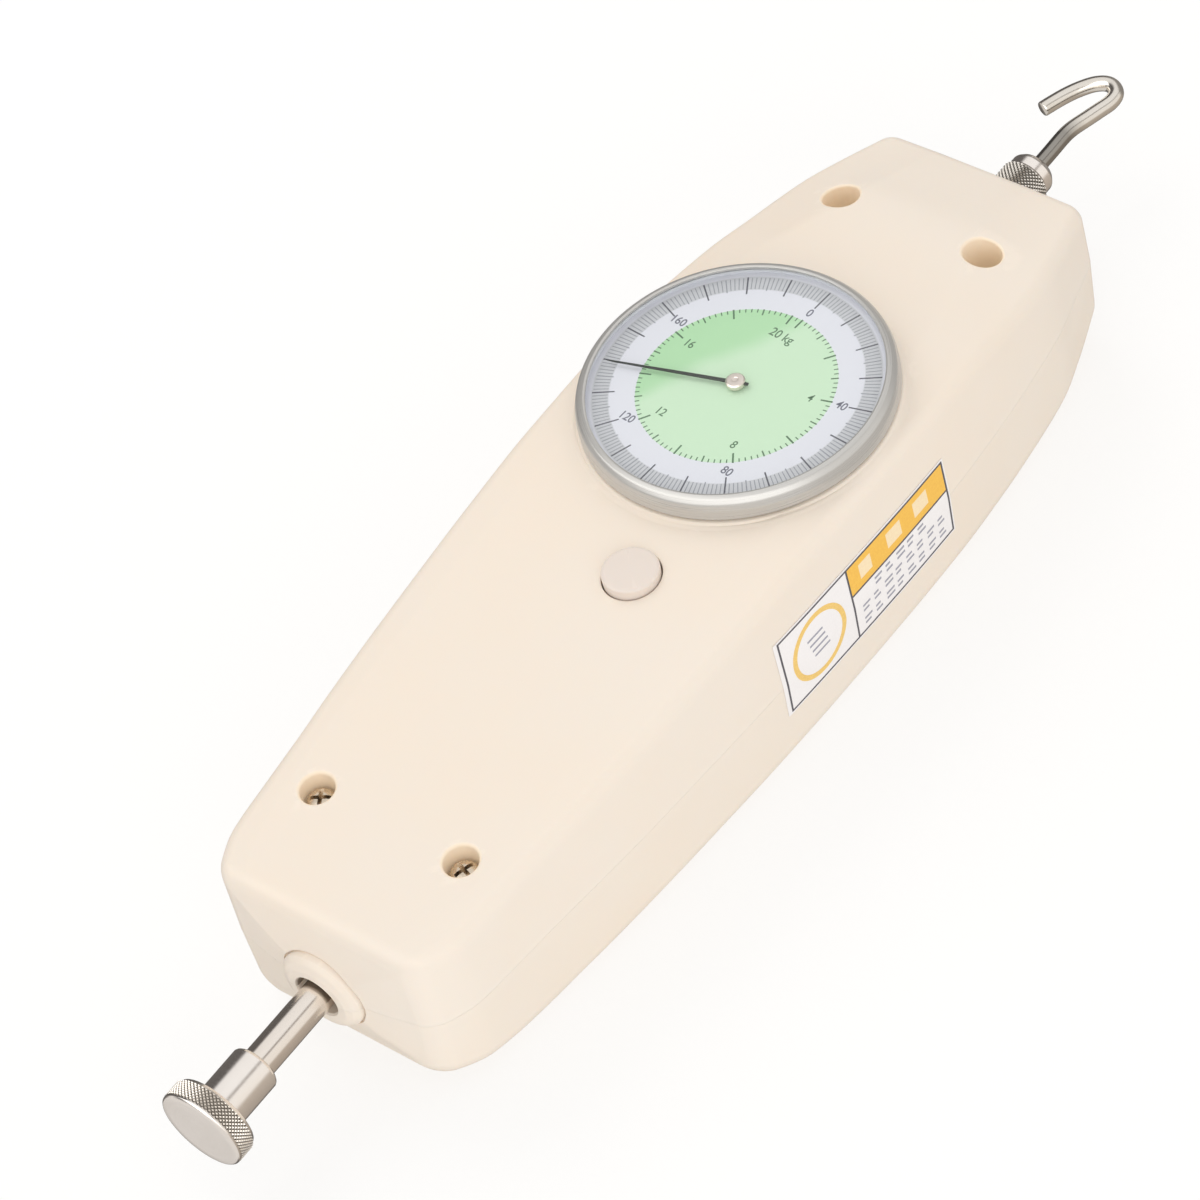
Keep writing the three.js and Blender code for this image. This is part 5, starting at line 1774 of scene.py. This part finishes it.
DIAL_CUP = [
    (2.4, 20.5, 0.2), (26.6, 20.5, 0.6), (27.5, 21.4, 0.5), (27.5, 24.85, 0.15),
    (27.95, 25.15, 0.15), (27.5, 25.45, 0.1), (25.9, 25.45, 0.2), (25.9, 21.6, 0.4),
    (2.4, 21.6, 0.2), (2.4, 20.5, 0.2),
]
BRAKE_DISC = [
    (1.04, 13.6), (2.4, 13.6, 0.12), (2.4, 15.4, 0.2), (9, 15.4, 0.12), (9, 16.2, 0.12),
    (1.04, 16.2, 0.1), (1.04, 13.6),
]
# side view of the lever: y, z
LEVER = [
    (-44, 12.9), (-26.2, 12.0), (-25.2, 11.1), (-22.8, 11.1), (-21.4, 12.4), (-9.5, 16.5),
    (-4.2, 16.5), (-4.2, 17.7), (-9.9, 17.7), (-22.4, 14.9), (-25.4, 14.9), (-27, 14.3),
    (-44, 14.3),
]


def build_cup_and_brake():
    cup = cut(turned(DIAL_CUP, 160), *drills(1.25, 20, 22, CUP_POSTS))
    place(cup, "dial_cup_fine", "cup", "case", "dial_cup", slot="cup")
    brake = turned(BRAKE_DISC)
    place(brake, "brake_disc_fine", "bezel", "pointer_set", "brake_disc", slot="bright")
    bracket = box(-12, 15, -45, -37, 15.3, 16.5)
    merge(bracket, *[box(x, x + 1.2, -45, -37, -9.48, 16) for x in (-12, 13.8)])
    cut(bracket, *drills(1.15, 14, 18, [BUTTON_AT]))
    bracket = soften(bracket, 0.12)
    place(bracket, "button_bracket_fine", "frame", "case", "button_bracket", slot="steel")
    count = len(LEVER)
    near, far = list(range(count)), list(range(count, 2 * count))
    verts = [(x, y, z) for x in (3.4, 9.6) for y, z in LEVER]
    lever = solid(verts, [tuple(near), tuple(reversed(far))] + band(near, far, swap=True))
    cut(lever, rod(1.06, 0, 14, LEVER_PIN_AT, 40, axis="x"))
    place(soften(lever, 0.1), "brake_lever_fine", "frame", "lever", "brake_lever", slot="steel")
    profile = [(0, 0.3), (0.98, 0.3, 0.15), (0.98, 12.5, 0.15), (0, 12.5)]
    pin = turned(profile, 48, LEVER_PIN_AT, axis="x")
    place(pin, "lever_pin_fine", "shaft", "case", "lever_pin", slot="bright")


build_frame()
build_rack()
build_wheels()
build_plates()
build_cup_and_brake()

# ------------------------------------------------------------------ table
scene = bpy.context.scene
scene.view_settings.view_transform = "Standard"
scene.view_settings.look = "None"
scene.view_settings.exposure = 0.0
scene.view_settings.gamma = 1.0


def build_table():
    """wide white table, partly glowing so that it stays white, and unseen by mirrors"""
    material, g = new_material("white_table")
    drift = g.times(g.noise(g.coords(), scale=3.0, detail=2), 0.02)
    colour = g.mix(drift, (0.90, 0.90, 0.90, 1), (0.88, 0.875, 0.865, 1))
    look = {"Base Color": colour, "Roughness": 0.9, "Specular IOR Level": 0.0}
    matt = g.add("BsdfPrincipled", look)
    glow = g.add("Emission", {"Color": (1.0, 0.998, 0.992, 1), "Strength": 1.06})
    g.finish(g.mix_shader(0.62, matt, glow))
    half, z = 40, -0.00004
    corners = [(-half, -half, z), (half, -half, z), (half, half, z), (-half, half, z)]
    mesh = bpy.data.meshes.new("table")
    mesh.from_pydata(corners, [], [(0, 1, 2, 3)])
    table = bpy.data.objects.new("table", mesh)
    scene.collection.objects.link(table)
    mesh.materials.append(material)
    table.visible_glossy = False


build_table()

# ------------------------------------------------------------------ surroundings
# what the metal mirrors, by degrees about the shaft's direction from +z towards +x:
# dark room low on the -x side, bright tent above, a dark seam, tan low on the +x side
MIRRORED = [
    (-180, (0.16, 0.15, 0.14)),
    (-50, (0.12, 0.11, 0.105)),
    (-38, (0.95, 0.93, 0.91)),
    (27, (1.02, 1.0, 0.98)),
    (31, (0.40, 0.37, 0.35)),
    (38, (0.42, 0.38, 0.35)),
    (42, (1.0, 0.97, 0.93)),
    (86, (0.98, 0.93, 0.87)),
    (98, (0.56, 0.49, 0.42)),
    (179, (0.40, 0.35, 0.30)),
]


def build_world():
    world = bpy.data.worlds.new("studio")
    scene.world = world
    g = Shader(world, "OutputWorld")
    rays = g.add("LightPath")
    x, y, z = g.split(g.add("TexCoord").outputs["Generated"])

    def smooth(value, span, to=(0.0, 1.0)):
        return g.remap(value, span, to, interpolation_type="SMOOTHSTEP")

    turn = g.plus(g.math("DIVIDE", g.math("ARCTAN2", x, z), 2 * math.pi), 0.5)
    colour = g.ramp(turn, [((degrees + 180) / 360, rgb) for degrees, rgb in MIRRORED])
    # towards -y a pale wall low down and a bright lamp above it; a darker corner towards +y
    toward = smooth(y, span=(-0.32, -0.16), to=(1.0, 0.0))
    wall = g.times(toward, smooth(z, span=(-0.10, 0.20), to=(1.0, 0.0)))
    lamp = g.times(toward, smooth(z, span=(0.20, 0.55)))
    colour = g.mix(wall, colour, (0.82, 0.785, 0.75, 1))
    colour = g.mix(lamp, colour, (2.35, 2.31, 2.25, 1))
    colour = g.mix(smooth(y, span=(0.72, 0.92)), colour, (0.30, 0.28, 0.26, 1))
    mirrored = g.add("Background", {"Color": colour, "Strength": 1.0})
    # soft light, a little stronger from above
    upward = g.times(g.remap(z, span=(-0.4, 1.0), to=(0.72, 1.0)), 0.90)
    lit = g.add("Background", {"Color": (1.0, 0.985, 0.965, 1), "Strength": upward})
    seen = g.add("Background", {"Color": (1, 1, 1, 1), "Strength": 1.0})
    light = g.mix_shader(rays.outputs["Is Glossy Ray"], lit, mirrored)
    g.finish(g.mix_shader(rays.outputs["Is Camera Ray"], light, seen))


def area_light(name, location, size, power, colour):
    """rectangular light aimed at the gauge, unseen by mirrors"""
    light = bpy.data.lights.new(name, "AREA")
    light.shape = "RECTANGLE"
    light.size, light.size_y = size
    light.energy = power
    light.color = colour
    ob = bpy.data.objects.new(name, light)
    scene.collection.objects.link(ob)
    ob.location = location
    aim = Vector((0, -0.03, 0.02)) - Vector(location)
    ob.rotation_euler = aim.to_track_quat("-Z", "Y").to_euler()
    ob.visible_glossy = False


def build_camera():
    camera = bpy.data.cameras.new("view")
    camera.lens = 158.4337
    camera.sensor_width = 36
    camera.sensor_fit = "HORIZONTAL"
    camera.clip_start, camera.clip_end = 0.01, 200
    ob = bpy.data.objects.new("view", camera)
    scene.collection.objects.link(ob)
    place_at = (0.460455, -0.438580, 0.714651)
    right = Vector((0.782916, 0.593857, -0.185407))
    back = Vector((0.505347, -0.433235, 0.746279))
    back.normalize()
    right = (right - back * right.dot(back)).normalized()
    up = back.cross(right)
    rows = [(right[i], up[i], back[i], place_at[i]) for i in range(3)]
    ob.matrix_world = Matrix((*rows, (0, 0, 0, 1)))
    scene.camera = ob


build_world()
area_light(
    "tent_left", (-0.75, 0.25, 0.95), size=(0.9, 0.9), power=3.2, colour=(1.0, 0.985, 0.96)
)
area_light(
    "tent_front", (0.85, -0.65, 0.45), size=(0.9, 0.7), power=2.8, colour=(1.0, 0.985, 0.965)
)
build_camera()
